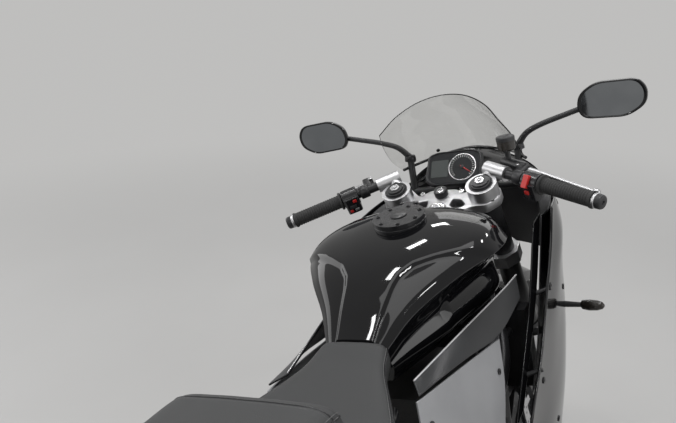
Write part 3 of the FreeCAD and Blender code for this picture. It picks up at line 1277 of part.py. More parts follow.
def stand_bracket(axis, pivot):
    """The lug under the engine with the pivot pin that carries the side stand."""
    hanger = Part.makeBox(44, 22, 45, pivot + Vector(-22, -34, -14))
    lug = Part.makeCylinder(17, 16, pivot - axis * 18, axis)
    pin = Part.makeCylinder(float(STAND_PIN), 30, pivot - axis * 4, axis)
    head = Part.makeCylinder(float(STAND_PIN) + 5, 5, pivot + axis * 25, axis)
    return hanger.fuse([lug, pin, head])


def side_stand():
    """The leg that folds back on its pin, and the foot that lies flat on the floor."""
    axis = LEAN.inverse().Rotation.multVec(STAND_AXIS)
    pivot = STAND_PIVOT
    node("stand_bracket", shaped("stand_bracket", stand_bracket(axis, pivot)))
    floor_pivot = LEAN.multVec(pivot + axis * 11)
    foot = Vector(floor_pivot.x + 26, floor_pivot.y + 96, 0)
    eye = Part.makeCylinder(16, 22, pivot, axis)
    hole = Part.makeCylinder(float(STAND_PIN + CLEAR), 60, pivot - axis * 10, axis)
    pad = Part.makeBox(74, 46, 7, foot - Vector(37, 23, 0))
    pad = pad.fuse(Part.makeCylinder(15, 14, foot, Z))
    pad.Placement = LEAN.inverse()
    ankle = LEAN.inverse().multVec(foot + Z * 12)
    leg = cylinder(STAND, pivot + axis * 11, ankle)
    stand = eye.fuse([leg, pad]).cut(hole)
    node("side_stand", shaped("side_stand", biggest(stand)))


wheels()
fork()
handlebars()
front_brakes_and_guard()
frame()
engine()
exhaust()
swingarm()
chain()
tank_and_seats()
nose_and_screen()
fairings()
cockpit()
mirrors()
lights_and_plate()
rear_frame_and_pegs()
rear_brake_and_hugger()
brackets()
side_stand()

doc.recompute()
reach = FreeCAD.BoundBox()
for thing in NODES.values():
    for point in thing.Shape.tessellate(1.0)[0]:
        reach.add(point)
CENTRED = Placement(Vector(-reach.Center.x, -reach.Center.y, 0), Rotation())
for thing in NODES.values():
    thing.Placement = CENTRED * thing.Placement
doc.recompute()
for thing in doc.Objects:
    if "Invalid" in thing.State or "Error" in thing.State:
        raise RuntimeError(f"{thing.Name} did not compute")
os.makedirs("parts", exist_ok=True)
for label, thing in NODES.items():
    if thing.Shape.isNull() or not thing.Shape.isValid():
        raise RuntimeError(f"{label} is not a sound shape")
    thing.Shape.exportStep(f"parts/{label}.step")
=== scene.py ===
"""Looks for a faired sport bike that leans on its side stand.

Shapes are drawn in the bike's upright space, in millimetres: +X forward, +Y left, +Z up,
and PLACE puts them, leant over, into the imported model's frame in metres.
"""
import json
import logging
import math
from collections.abc import Sequence
from dataclasses import dataclass
from enum import Enum

import bmesh
import bpy
from bpy.types import Curve, Material, Mesh, Node, NodeSocket, NodeTree, Object
from mathutils import Matrix, Vector


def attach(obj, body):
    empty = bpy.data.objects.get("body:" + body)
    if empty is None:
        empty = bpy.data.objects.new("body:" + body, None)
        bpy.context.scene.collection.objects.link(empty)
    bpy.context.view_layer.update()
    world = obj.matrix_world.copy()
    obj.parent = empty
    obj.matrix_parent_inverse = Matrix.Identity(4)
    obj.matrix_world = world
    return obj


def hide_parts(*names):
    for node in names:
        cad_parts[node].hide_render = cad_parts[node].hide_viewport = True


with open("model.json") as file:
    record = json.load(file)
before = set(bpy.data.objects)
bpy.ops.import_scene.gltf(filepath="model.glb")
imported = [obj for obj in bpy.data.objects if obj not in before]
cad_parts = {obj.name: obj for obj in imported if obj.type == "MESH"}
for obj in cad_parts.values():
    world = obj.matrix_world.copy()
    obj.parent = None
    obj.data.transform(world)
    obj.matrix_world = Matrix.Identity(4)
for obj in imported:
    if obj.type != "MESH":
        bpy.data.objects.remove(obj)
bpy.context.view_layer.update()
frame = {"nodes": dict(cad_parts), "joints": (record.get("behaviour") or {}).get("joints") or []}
LOG = logging.getLogger("sport_bike")

Flat = tuple[float, float]
Corner = tuple[float, float, float]
Colour = tuple[float, float, float]
Seat = tuple[Vector, Vector]
Table = tuple[tuple[Corner, ...], ...]
Stations = tuple[tuple[float, float, float, float], ...]
Rings = list[list[Vector]]
Feeds = dict[str | int, object]

LEFT, RIGHT = 1, -1
SIDES = ((LEFT, "left"), (RIGHT, "right"))
X, Y, Z = Vector((1, 0, 0)), Vector((0, 1, 0)), Vector((0, 0, 1))
FRONT_AXLE = Vector((713, 0, 300))
REAR_AXLE = Vector((-713, 0, 315))
RAKE = math.radians(23.8)
UP_FORK = Vector((-math.sin(RAKE), 0, math.cos(RAKE)))
AHEAD_FORK = Vector((math.cos(RAKE), 0, math.sin(RAKE)))
HALF_TRACK = 103
STEM_BEHIND = 45.8
LEAN = math.radians(-12.5)
PITCH = math.radians(0.0324)


def place_in_frame() -> Matrix:
    """Finds where upright millimetres go in the frame.

    Returns:
        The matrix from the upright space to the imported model's frame.
    """
    joint = next(j for j in frame["joints"] if j["name"] == "front_wheel_spin")
    turn = Matrix.Rotation(PITCH, 4, "Y") @ Matrix.Rotation(LEAN, 4, "X")
    scale = Matrix.Scale(0.001, 4)
    shift = Vector(joint["pos_m"]) - (turn @ scale @ FRONT_AXLE)
    return Matrix.Translation(shift) @ turn @ scale


PLACE = place_in_frame()


def on_leg(side: float, along: float) -> Vector:
    """A point on a fork leg, measured up the leg from the axle."""
    return FRONT_AXLE + UP_FORK * along + Y * (side * HALF_TRACK)


def flipped(point: Vector) -> Vector:
    """The twin of a point or a direction on the other side."""
    return Vector((point.x, -point.y, point.z))


def on_stem(along: float) -> Vector:
    """A point on the steering axis, level with the same distance up the legs."""
    return FRONT_AXLE + UP_FORK * along - AHEAD_FORK * STEM_BEHIND


class Field(Enum):
    """The fine pattern that a finish carries."""

    SPECKLE = "speckle_field"
    PEBBLE = "pebble_field"
    BRUSHED = "brushed_field"
    TREAD = "tread_field"
    WEAVE = "weave_field"


@dataclass(frozen=True)
class Finish:
    """One finish of the bike and the numbers that make its material."""

    name: str
    dark: Colour
    light: Colour
    rough: tuple[float, float]
    field: Field = Field.SPECKLE
    scale: float = 200.0
    depth: float = 0.0001
    metallic: float = 0.0
    coat: float = 0.0
    transmission: float = 0.0
    ior: float = 1.5


TANK_LACQUER = Finish("tank_lacquer", (0.003, 0.003, 0.0035), (0.006, 0.006, 0.007), (0.03, 0.07), scale=900,
                      depth=0.000002, ior=1.42)
PANEL_LACQUER = Finish("panel_lacquer", (0.004, 0.004, 0.0045), (0.008, 0.008, 0.009), (0.07, 0.12),
                       scale=700, depth=0.000003, ior=1.45)
SILVER_PAINT = Finish("silver_paint", (0.27, 0.272, 0.28), (0.34, 0.342, 0.352), (0.4, 0.5), scale=2600,
                      depth=0.000006, metallic=0.3)
DARK_PANEL_PAINT = Finish("dark_panel_paint", (0.014, 0.0145, 0.016), (0.026, 0.027, 0.029), (0.34, 0.44),
                          scale=1400, depth=0.00001, metallic=0.15)
CAST_SILVER = Finish("cast_silver", (0.48, 0.48, 0.49), (0.6, 0.6, 0.61), (0.34, 0.46), scale=1600,
                     depth=0.00001, metallic=1.0)
MACHINED = Finish("machined_steel", (0.46, 0.46, 0.47), (0.6, 0.6, 0.61), (0.18, 0.3), Field.BRUSHED,
                  scale=900, depth=0.000003, metallic=1.0)
CHROME = Finish("bright_chrome", (0.6, 0.6, 0.61), (0.8, 0.8, 0.81), (0.04, 0.1), scale=90, depth=0.000004,
                metallic=1.0)
BLACK_METAL = Finish("satin_black_metal", (0.012, 0.012, 0.013), (0.03, 0.03, 0.032), (0.3, 0.48), scale=600,
                     depth=0.00003, metallic=0.2)
FRAME_PAINT = Finish("frame_paint", (0.03, 0.03, 0.032), (0.06, 0.06, 0.064), (0.28, 0.42), scale=500,
                     depth=0.00002, metallic=0.4)
ENGINE_PAINT = Finish("engine_paint", (0.035, 0.035, 0.037), (0.085, 0.083, 0.08), (0.42, 0.62), scale=380,
                      depth=0.00008, metallic=0.5)
HEAT_STEEL = Finish("heat_tinted_steel", (0.24, 0.19, 0.15), (0.5, 0.46, 0.4), (0.22, 0.42), scale=22,
                    depth=0.00001, metallic=1.0)
CHAIN_STEEL = Finish("oiled_chain", (0.12, 0.11, 0.09), (0.34, 0.32, 0.28), (0.28, 0.5), scale=320,
                     depth=0.00003, metallic=1.0)
BLACK_PLASTIC = Finish("moulded_plastic", (0.012, 0.012, 0.013), (0.026, 0.026, 0.028), (0.42, 0.6),
                       Field.PEBBLE, scale=1500, depth=0.00004)
SMOOTH_PLASTIC = Finish("smooth_black_plastic", (0.009, 0.009, 0.01), (0.018, 0.018, 0.02), (0.2, 0.32),
                        scale=800, depth=0.00001)
GRIP_RUBBER = Finish("grip_rubber", (0.012, 0.012, 0.012), (0.03, 0.03, 0.03), (0.6, 0.8), Field.PEBBLE,
                     scale=1100, depth=0.00012)
COVER = Finish("pad_cover", (0.02, 0.0205, 0.021), (0.04, 0.041, 0.042), (0.52, 0.7), Field.PEBBLE, scale=900,
               depth=0.00012)
COVER_SIDE = Finish("pad_cover_grip", (0.015, 0.0155, 0.016), (0.032, 0.033, 0.034), (0.56, 0.74),
                    Field.WEAVE, scale=420, depth=0.00022)
THREAD = Finish("seam_thread", (0.1, 0.1, 0.1), (0.16, 0.16, 0.16), (0.6, 0.8), Field.WEAVE, scale=2400,
                depth=0.00005)
TYRE_RUBBER = Finish("tyre_rubber", (0.008, 0.008, 0.008), (0.028, 0.028, 0.029), (0.55, 0.8), Field.TREAD,
                     scale=300, depth=0.0025)
SCREEN = Finish("light_smoke_screen", (0.86, 0.86, 0.85), (0.9, 0.9, 0.89), (0.015, 0.03), scale=30,
                depth=0.000001, transmission=1.0, ior=1.3)
LENS = Finish("clear_lens", (0.85, 0.87, 0.88), (0.9, 0.92, 0.93), (0.02, 0.04), scale=60, depth=0.000002,
              transmission=1.0, ior=1.4)
DARK_LENS = Finish("dark_lens", (0.01, 0.009, 0.008), (0.026, 0.02, 0.014), (0.1, 0.18), Field.WEAVE,
                   scale=240, depth=0.0002)
RED_LENS = Finish("red_lens", (0.22, 0.004, 0.004), (0.34, 0.01, 0.008), (0.08, 0.16), Field.WEAVE, scale=220,
                  depth=0.0003, coat=0.6)
RED_BUTTON = Finish("red_button", (0.5, 0.012, 0.012), (0.62, 0.03, 0.025), (0.3, 0.42), scale=700,
                    depth=0.00001)
WHITE_MARK = Finish("white_mark", (0.62, 0.62, 0.6), (0.7, 0.7, 0.68), (0.4, 0.5), scale=900, depth=0.000005)
DIAL_GLASS = Finish("dial_glass", (0.008, 0.009, 0.01), (0.013, 0.014, 0.016), (0.3, 0.38), scale=120,
                    depth=0.000003, ior=1.25)
LCD = Finish("display_face", (0.05, 0.056, 0.054), (0.07, 0.078, 0.075), (0.34, 0.44), Field.WEAVE,
             scale=1800, depth=0.00001, ior=1.3)
MIRROR_GLASS = Finish("mirror_glass", (0.2, 0.21, 0.22), (0.24, 0.25, 0.26), (0.03, 0.05), scale=20,
                      depth=0.000001, metallic=1.0)
PALE_PLATE = Finish("blank_plate", (0.6, 0.6, 0.58), (0.68, 0.68, 0.66), (0.35, 0.5), scale=500,
                    depth=0.00002)


# Sockets of a Mix node in its colour mode
MIX_FIRST, MIX_SECOND, MIX_RESULT = 6, 7, 2
COAT_ROUGHNESS = 0.03


class Wiring:
    """Adds nodes to a tree and joins them."""

    def __init__(self, tree: NodeTree) -> None:
        """Starts on a tree."""
        self.tree = tree

    def node(self, kind: str, feeds: Feeds | None = None, **settings: object) -> Node:
        """A new node with some of its properties set and its inputs fed.

        Args:
            kind: The node's type name.
            feeds: Some of its inputs and what each one gets.
            settings: Property names and their values.

        Returns:
            The node.
        """
        made = self.tree.nodes.new(kind)
        for name, value in settings.items():
            setattr(made, name, value)
        self.feed(made, feeds or {})
        return made

    def join(self, value: object, socket: NodeSocket) -> None:
        """Links a socket, or writes a plain value, into another socket.

        Args:
            value: A node's output, or a number, colour or vector.
            socket: The input that takes it.
        """
        if isinstance(value, NodeSocket):
            self.tree.links.new(value, socket)
        else:
            socket.default_value = value

    def feed(self, node: Node, feeds: Feeds) -> None:
        """Links or writes values into a node's inputs, named or counted."""
        for label, value in feeds.items():
            self.join(value, node.inputs[label])

    def math(self, operation: str, *values: object) -> NodeSocket:
        """A Math node's result from sockets or numbers."""
        return self.node("ShaderNodeMath", dict(enumerate(values)), operation=operation).outputs[0]

    def spread(self, value: object, low: object, high: object, to_low: object = 0.0,
               to_high: object = 1.0) -> NodeSocket:
        """A value mapped smoothly from between low and high to between two others."""
        feeds = dict(enumerate((value, low, high, to_low, to_high)))
        return self.node("ShaderNodeMapRange", feeds, interpolation_type="SMOOTHSTEP").outputs[0]

    def noise(self, place: object, scale: object, detail: float) -> NodeSocket:
        """A Noise Texture's factor at a place, with a scale and a number of octaves."""
        return self.node("ShaderNodeTexNoise", {"Vector": place, "Scale": scale, "Detail": detail}).outputs[0]

    def clouded(self, fine: object, share: float, place: object, clouds: Corner) -> NodeSocket:
        """A share of a fine pattern over slow clouds of a scale, a number of octaves and a share."""
        slow = self.math("MULTIPLY", self.noise(place, clouds[0], clouds[1]), clouds[2])
        return self.math("MULTIPLY_ADD", fine, share, slow)

    def blended(self, factor: object, first: Node, second: Node) -> NodeSocket:
        """A mix of two shader nodes, all of the second where the factor is 1."""
        feeds = {0: factor, 1: first.outputs[0], 2: second.outputs[0]}
        return self.node("ShaderNodeMixShader", feeds).outputs[0]

    def fold(self, value: object) -> NodeSocket:
        """How far a value is from the middle of its unit step."""
        return self.math("ABSOLUTE", self.math("SUBTRACT", self.math("FRACT", value), 0.5))

    def mixed(self, factor: object, first: object, second: object) -> NodeSocket:
        """A colour between two others, all of the second where the factor is 1."""
        feeds = {"Factor": factor, MIX_FIRST: first, MIX_SECOND: second}
        return self.node("ShaderNodeMix", feeds, data_type="RGBA").outputs[MIX_RESULT]


class PaintShop:
    """Builds each finish's material once, with the shared node groups."""

    def __init__(self) -> None:
        """Builds the shared groups."""
        self.made: dict[str, Material] = {}
        self.fields: dict[Field, NodeTree] = {}
        for build in (self.speckle, self.pebble, self.brushed, self.tread, self.weave):
            build()
        self.tone = self.two_tone()

    def group(self, name: str, inputs: Sequence[tuple[str, str]],
              outputs: Sequence[tuple[str, str]]) -> tuple[Wiring, Node, Node]:
        """A new shader group with its input and output nodes.

        Args:
            name: The group's name.
            inputs: Names and socket types going in.
            outputs: Names and socket types coming out.

        Returns:
            The wiring and the two end nodes.
        """
        tree = bpy.data.node_groups.new(name, "ShaderNodeTree")
        for way, sockets in (("INPUT", inputs), ("OUTPUT", outputs)):
            for label, kind in sockets:
                tree.interface.new_socket(label, in_out=way, socket_type=kind)
        wiring = Wiring(tree)
        return wiring, wiring.node("NodeGroupInput"), wiring.node("NodeGroupOutput")

    def field_group(self, field: Field) -> tuple[Wiring, NodeSocket, NodeSocket, Node]:
        """A group that turns a place and a scale into a mask and a height.

        Args:
            field: The pattern that it is for.

        Returns:
            The wiring, the place, the scale and the node that takes the mask and the height.
        """
        wiring, given, out = self.group(
            field.value, (("Place", "NodeSocketVector"), ("Scale", "NodeSocketFloat")),
            (("Mask", "NodeSocketFloat"), ("Height", "NodeSocketFloat")))
        self.fields[field] = wiring.tree
        return wiring, given.outputs["Place"], given.outputs["Scale"], out

    def speckle(self) -> None:
        """Fine cast or sprayed speckle with slow clouds in it."""
        wiring, place, scale, out = self.field_group(Field.SPECKLE)
        fine = wiring.noise(place, scale, 3.0)
        mask = wiring.spread(wiring.clouded(fine, 0.45, place, (9.0, 4.0, 0.6)), 0.35, 0.75)
        wiring.feed(out, {"Mask": mask, "Height": fine})

    def pebble(self) -> None:
        """Rounded grains, as on moulded plastic or a covered pad."""
        wiring, place, scale, out = self.field_group(Field.PEBBLE)
        cells = wiring.node("ShaderNodeTexVoronoi", {"Vector": place, "Scale": scale}, feature="SMOOTH_F1")
        grain = wiring.spread(cells.outputs["Distance"], 0.1, 0.7, 1.0, 0.0)
        wiring.feed(out, {"Mask": wiring.clouded(grain, 0.35, place, (14.0, 4.0, 0.75)), "Height": grain})

    def brushed(self) -> None:
        """Fine lines that run one way, as turning or brushing leaves them."""
        wiring, place, scale, out = self.field_group(Field.BRUSHED)
        stretch = wiring.node("ShaderNodeVectorMath", {0: place, 1: (0.06, 1.0, 0.35)}, operation="MULTIPLY")
        lines = wiring.noise(stretch.outputs[0], scale, 2.0)
        wiring.feed(out, {"Mask": wiring.clouded(lines, 0.6, place, (20.0, 3.0, 0.45)), "Height": lines})

    def weave(self) -> None:
        """A crossed pattern of small ribs."""
        wiring, place, scale, out = self.field_group(Field.WEAVE)
        feeds = {"Vector": place, "Scale": scale}
        ribs = [wiring.node("ShaderNodeTexWave", feeds, wave_type="BANDS", bands_direction=direction)
                for direction in ("X", "Z")]
        both = wiring.math("MULTIPLY", *[rib.outputs["Fac"] for rib in ribs])
        wiring.feed(out, {"Mask": wiring.clouded(both, 0.4, place, (12.0, 3.0, 0.6)), "Height": both})

    def tread(self) -> None:
        """Slanting grooves round a wheel whose axle is the local Y axis, and rings on its walls; the grooves
        are darkened with painted shade.
        """
        wiring, place, scale, out = self.field_group(Field.TREAD)
        along = wiring.node("ShaderNodeSeparateXYZ", {0: place}).outputs
        across = wiring.math("ABSOLUTE", along["Y"])
        angle = wiring.math("ARCTAN2", along["Z"], along["X"])
        squares = [wiring.math("POWER", along[axis], 2.0) for axis in ("X", "Z")]
        radius = wiring.math("SQRT", wiring.math("ADD", *squares))
        grooves_round, slope, rings_per_metre, shoulder = 34.0, 26.0, 140.0, 0.262
        turns = wiring.math("MULTIPLY", angle, grooves_round / (2 * math.pi))
        slant = wiring.math("MULTIPLY_ADD", across, slope, turns)
        groove = wiring.spread(wiring.fold(slant), 0.05, 0.1, 1.0, 0.0)
        inside = wiring.math("MULTIPLY", wiring.spread(across, 0.012, 0.018),
                             wiring.spread(radius, shoulder, shoulder + 0.006))
        groove = wiring.math("MULTIPLY", groove, inside)
        round_lines = wiring.fold(wiring.math("MULTIPLY", radius, rings_per_metre))
        rings = wiring.spread(round_lines, 0.1, 0.4, 0.12, 0.0)
        rings = wiring.math("MULTIPLY", rings, wiring.spread(radius, shoulder, shoulder - 0.007))
        fine = wiring.noise(place, scale, 3.0)
        height = wiring.math("MULTIPLY_ADD", fine, 0.02, wiring.math("SUBTRACT", rings, groove))
        # Painted shade: the grooves lower the mask, so the rubber in them is darker.
        mask = wiring.math("SUBTRACT", fine, wiring.math("MULTIPLY", groove, 0.5))
        wiring.feed(out, {"Mask": mask, "Height": height})

    def two_tone(self) -> NodeTree:
        """Shades a mask between two colours and two roughnesses.

        Returns:
            The group's tree.
        """
        wiring, given, out = self.group(
            "two_tone",
            (("Mask", "NodeSocketFloat"), ("Dark", "NodeSocketColor"), ("Light", "NodeSocketColor"),
             ("Smooth", "NodeSocketFloat"), ("Rough", "NodeSocketFloat")),
            (("Colour", "NodeSocketColor"), ("Roughness", "NodeSocketFloat")))
        mask, dark, light, smooth, rough = [given.outputs[k] for k in range(5)]
        wiring.feed(out, {"Colour": wiring.mixed(mask, dark, light),
                          "Roughness": wiring.spread(mask, 0.0, 1.0, smooth, rough)})
        return wiring.tree

    def material(self, finish: Finish, centre: Vector | None = None) -> Material:
        """The material of a finish.

        Args:
            finish: The finish.
            centre: A wheel's centre in the upright space, for a tread that goes round it.

        Returns:
            The material, made on first use.
        """
        name = finish.name if centre is None else f"{finish.name}_{'front' if centre.x > 0 else 'rear'}"
        if name in self.made:
            return self.made[name]
        made = bpy.data.materials.new(name)
        made.use_nodes = True
        wiring = Wiring(made.node_tree)
        shader = made.node_tree.nodes["Principled BSDF"]
        place = wiring.node("ShaderNodeTexCoord").outputs["Object"]
        if centre is not None:
            feeds = {"Vector": place, "Location": PLACE @ centre, "Rotation": (LEAN, PITCH, 0.0)}
            place = wiring.node("ShaderNodeMapping", feeds, vector_type="TEXTURE").outputs[0]
        pattern = wiring.node("ShaderNodeGroup", {"Place": place, "Scale": finish.scale},
                              node_tree=self.fields[finish.field])
        feeds = {"Mask": pattern.outputs["Mask"], "Dark": (*finish.dark, 1.0), "Light": (*finish.light, 1.0),
                 "Smooth": finish.rough[0], "Rough": finish.rough[1]}
        tone = wiring.node("ShaderNodeGroup", feeds, node_tree=self.tone)
        feeds = {"Strength": 1.0, "Distance": finish.depth, "Height": pattern.outputs["Height"]}
        bump = wiring.node("ShaderNodeBump", feeds)
        wiring.feed(shader, {
            "Base Color": tone.outputs["Colour"], "Roughness": tone.outputs["Roughness"],
            "Normal": bump.outputs["Normal"], "Metallic": finish.metallic, "Coat Weight": finish.coat,
            "Coat Roughness": COAT_ROUGHNESS, "Transmission Weight": finish.transmission, "IOR": finish.ior})
        self.made[name] = made
        return made


PAINT = PaintShop()


def line_through(points: Sequence[Vector], steps: int, breaks: Sequence[int] = ()) -> list[Vector]:
    """A smooth line that passes through every point.

    Args:
        points: The points, in order.
        steps: How many pieces each span is cut into.
        breaks: Indexes of the points where the line may turn sharply.

    Returns:
        The points of the finer line.
    """
    ends = [0, *sorted(k for k in breaks if 0 < k < len(points) - 1), len(points) - 1]
    line = [points[0].copy()]
    for first, last in zip(ends, ends[1:]):
        run = points[first:last + 1]
        gaps = [max((b - a).length, 1e-6) ** 0.5 for a, b in zip(run, run[1:])]
        slopes = [(b - a) / gap for (a, b), gap in zip(zip(run, run[1:]), gaps)]
        lean = [slopes[0]]
        for k in range(1, len(run) - 1):
            before, after = gaps[k - 1], gaps[k]
            lean.append((slopes[k - 1] * after + slopes[k] * before) / (before + after))
        lean.append(slopes[-1])
        for k, gap in enumerate(gaps):
            for step in range(1, steps + 1):
                t = step / steps
                line.append(run[k] * (2 * t ** 3 - 3 * t ** 2 + 1)
                            + lean[k] * (gap * (t ** 3 - 2 * t ** 2 + t))
                            + run[k + 1] * (3 * t ** 2 - 2 * t ** 3)
                            + lean[k + 1] * (gap * (t ** 3 - t ** 2)))
    return line


def smooth_rows(rows: Rings, across: int, along: int, across_breaks: Sequence[int] = (),
                along_breaks: Sequence[int] = ()) -> Rings:
    """A finer grid whose surface passes through every corner of a coarse one.

    Args:
        rows: The coarse grid.
        across: Pieces per span in each row.
        along: Pieces per span from row to row.
        across_breaks: Columns that stay sharp.
        along_breaks: Rows that stay sharp.

    Returns:
        The fine grid.
    """
    wide = [line_through(row, across, across_breaks) for row in rows]
    columns = [line_through([row[k] for row in wide], along, along_breaks) for k in range(len(wide[0]))]
    return [[column[k] for column in columns] for k in range(len(columns[0]))]


def rounded(outline: Sequence[Flat], radius: float, steps: int = 5) -> list[Flat]:
    """A flat outline with its corners rounded off.

    Args:
        outline: The corners.
        radius: How far from each corner its curve starts.
        steps: Pieces in each curve.

    Returns:
        The rounded outline.
    """
    made = []
    count = len(outline)
    for k, corner in enumerate(outline):
        here = Vector(corner)
        before, after = Vector(outline[k - 1]) - here, Vector(outline[(k + 1) % count]) - here
        start = here + before.normalized() * min(radius, before.length * 0.45)
        end = here + after.normalized() * min(radius, after.length * 0.45)
        for step in range(steps + 1):
            t = step / steps
            made.append(tuple(start * (1 - t) ** 2 + here * (2 * t * (1 - t)) + end * t ** 2))
    return made


def mirrored_rows(rows: Sequence[Sequence[Corner]]) -> Rings:
    """Rows that run from the middle out to the left, carried on over to the right."""
    half = [[Vector(corner) for corner in row] for row in rows]
    return [[flipped(point) for point in row[:0:-1]] + row for row in half]


def domed(x: float, widths: Sequence[float], heights: Sequence[float]) -> list[Vector]:
    """A section across the bike: up the left side to the middle and down the right."""
    left = [Vector((x, width, height)) for width, height in zip(widths, heights)]
    return left + [flipped(point) for point in left[::-1] if point.y > 0]


def crossing(axis: Vector) -> Seat:
    """Two unit directions square to an axis and to each other."""
    side = axis.orthogonal().normalized()
    return side, axis.cross(side)


def circle(centre: Vector, side: Vector, other: Vector, radius: float, count: int) -> list[Vector]:
    """Points evenly round a circle in the plane of two directions."""
    angles = [2 * math.pi * k / count for k in range(count)]
    return [centre + (side * math.cos(t) + other * math.sin(t)) * radius for t in angles]


def add_object(name: str, data: bpy.types.ID) -> Object:
    """A new object in the scene.

    Args:
        name: Its name.
        data: Its mesh, curve, lamp or camera.

    Returns:
        The object.
    """
    made = bpy.data.objects.new(name, data)
    bpy.context.scene.collection.objects.link(made)
    return made


def add_line(curve: Curve, points: Sequence[Corner | Vector], closed: bool) -> None:
    """Adds a line of straight pieces to a curve.

    Args:
        curve: The curve.
        points: The line's points.
        closed: Whether it comes back to its start.
    """
    spline = curve.splines.new("POLY")
    spline.points.add(len(points) - 1)
    for item, point in zip(spline.points, points):
        item.co = (*point, 1)
    spline.use_cyclic_u = closed


def applied(holder: Object) -> Mesh:
    """An object's mesh as its modifiers leave it.

    Args:
        holder: The object, which stays as it is.

    Returns:
        A mesh of its own.
    """
    bpy.context.view_layer.update()
    whole = holder.evaluated_get(bpy.context.evaluated_depsgraph_get())
    return bpy.data.meshes.new_from_object(whole)


def settle(made: Object) -> None:
    """Puts what an object's modifiers do into its mesh and removes them.

    Args:
        made: The object.
    """
    finished = applied(made)
    made.modifiers.clear()
    made.data = finished
    finished.name = made.name


# Finish, sides and profile; finish, place along, rise, half size and corner
Turned = tuple[tuple[Finish, int, tuple[Flat, ...]], ...]
Button = tuple[Finish, float, float, Corner, float]

# Millimetres, degrees and metres
LEAST_RADIUS = 0.01
SHARP = 38.0
SAME_PLACE = 0.00002


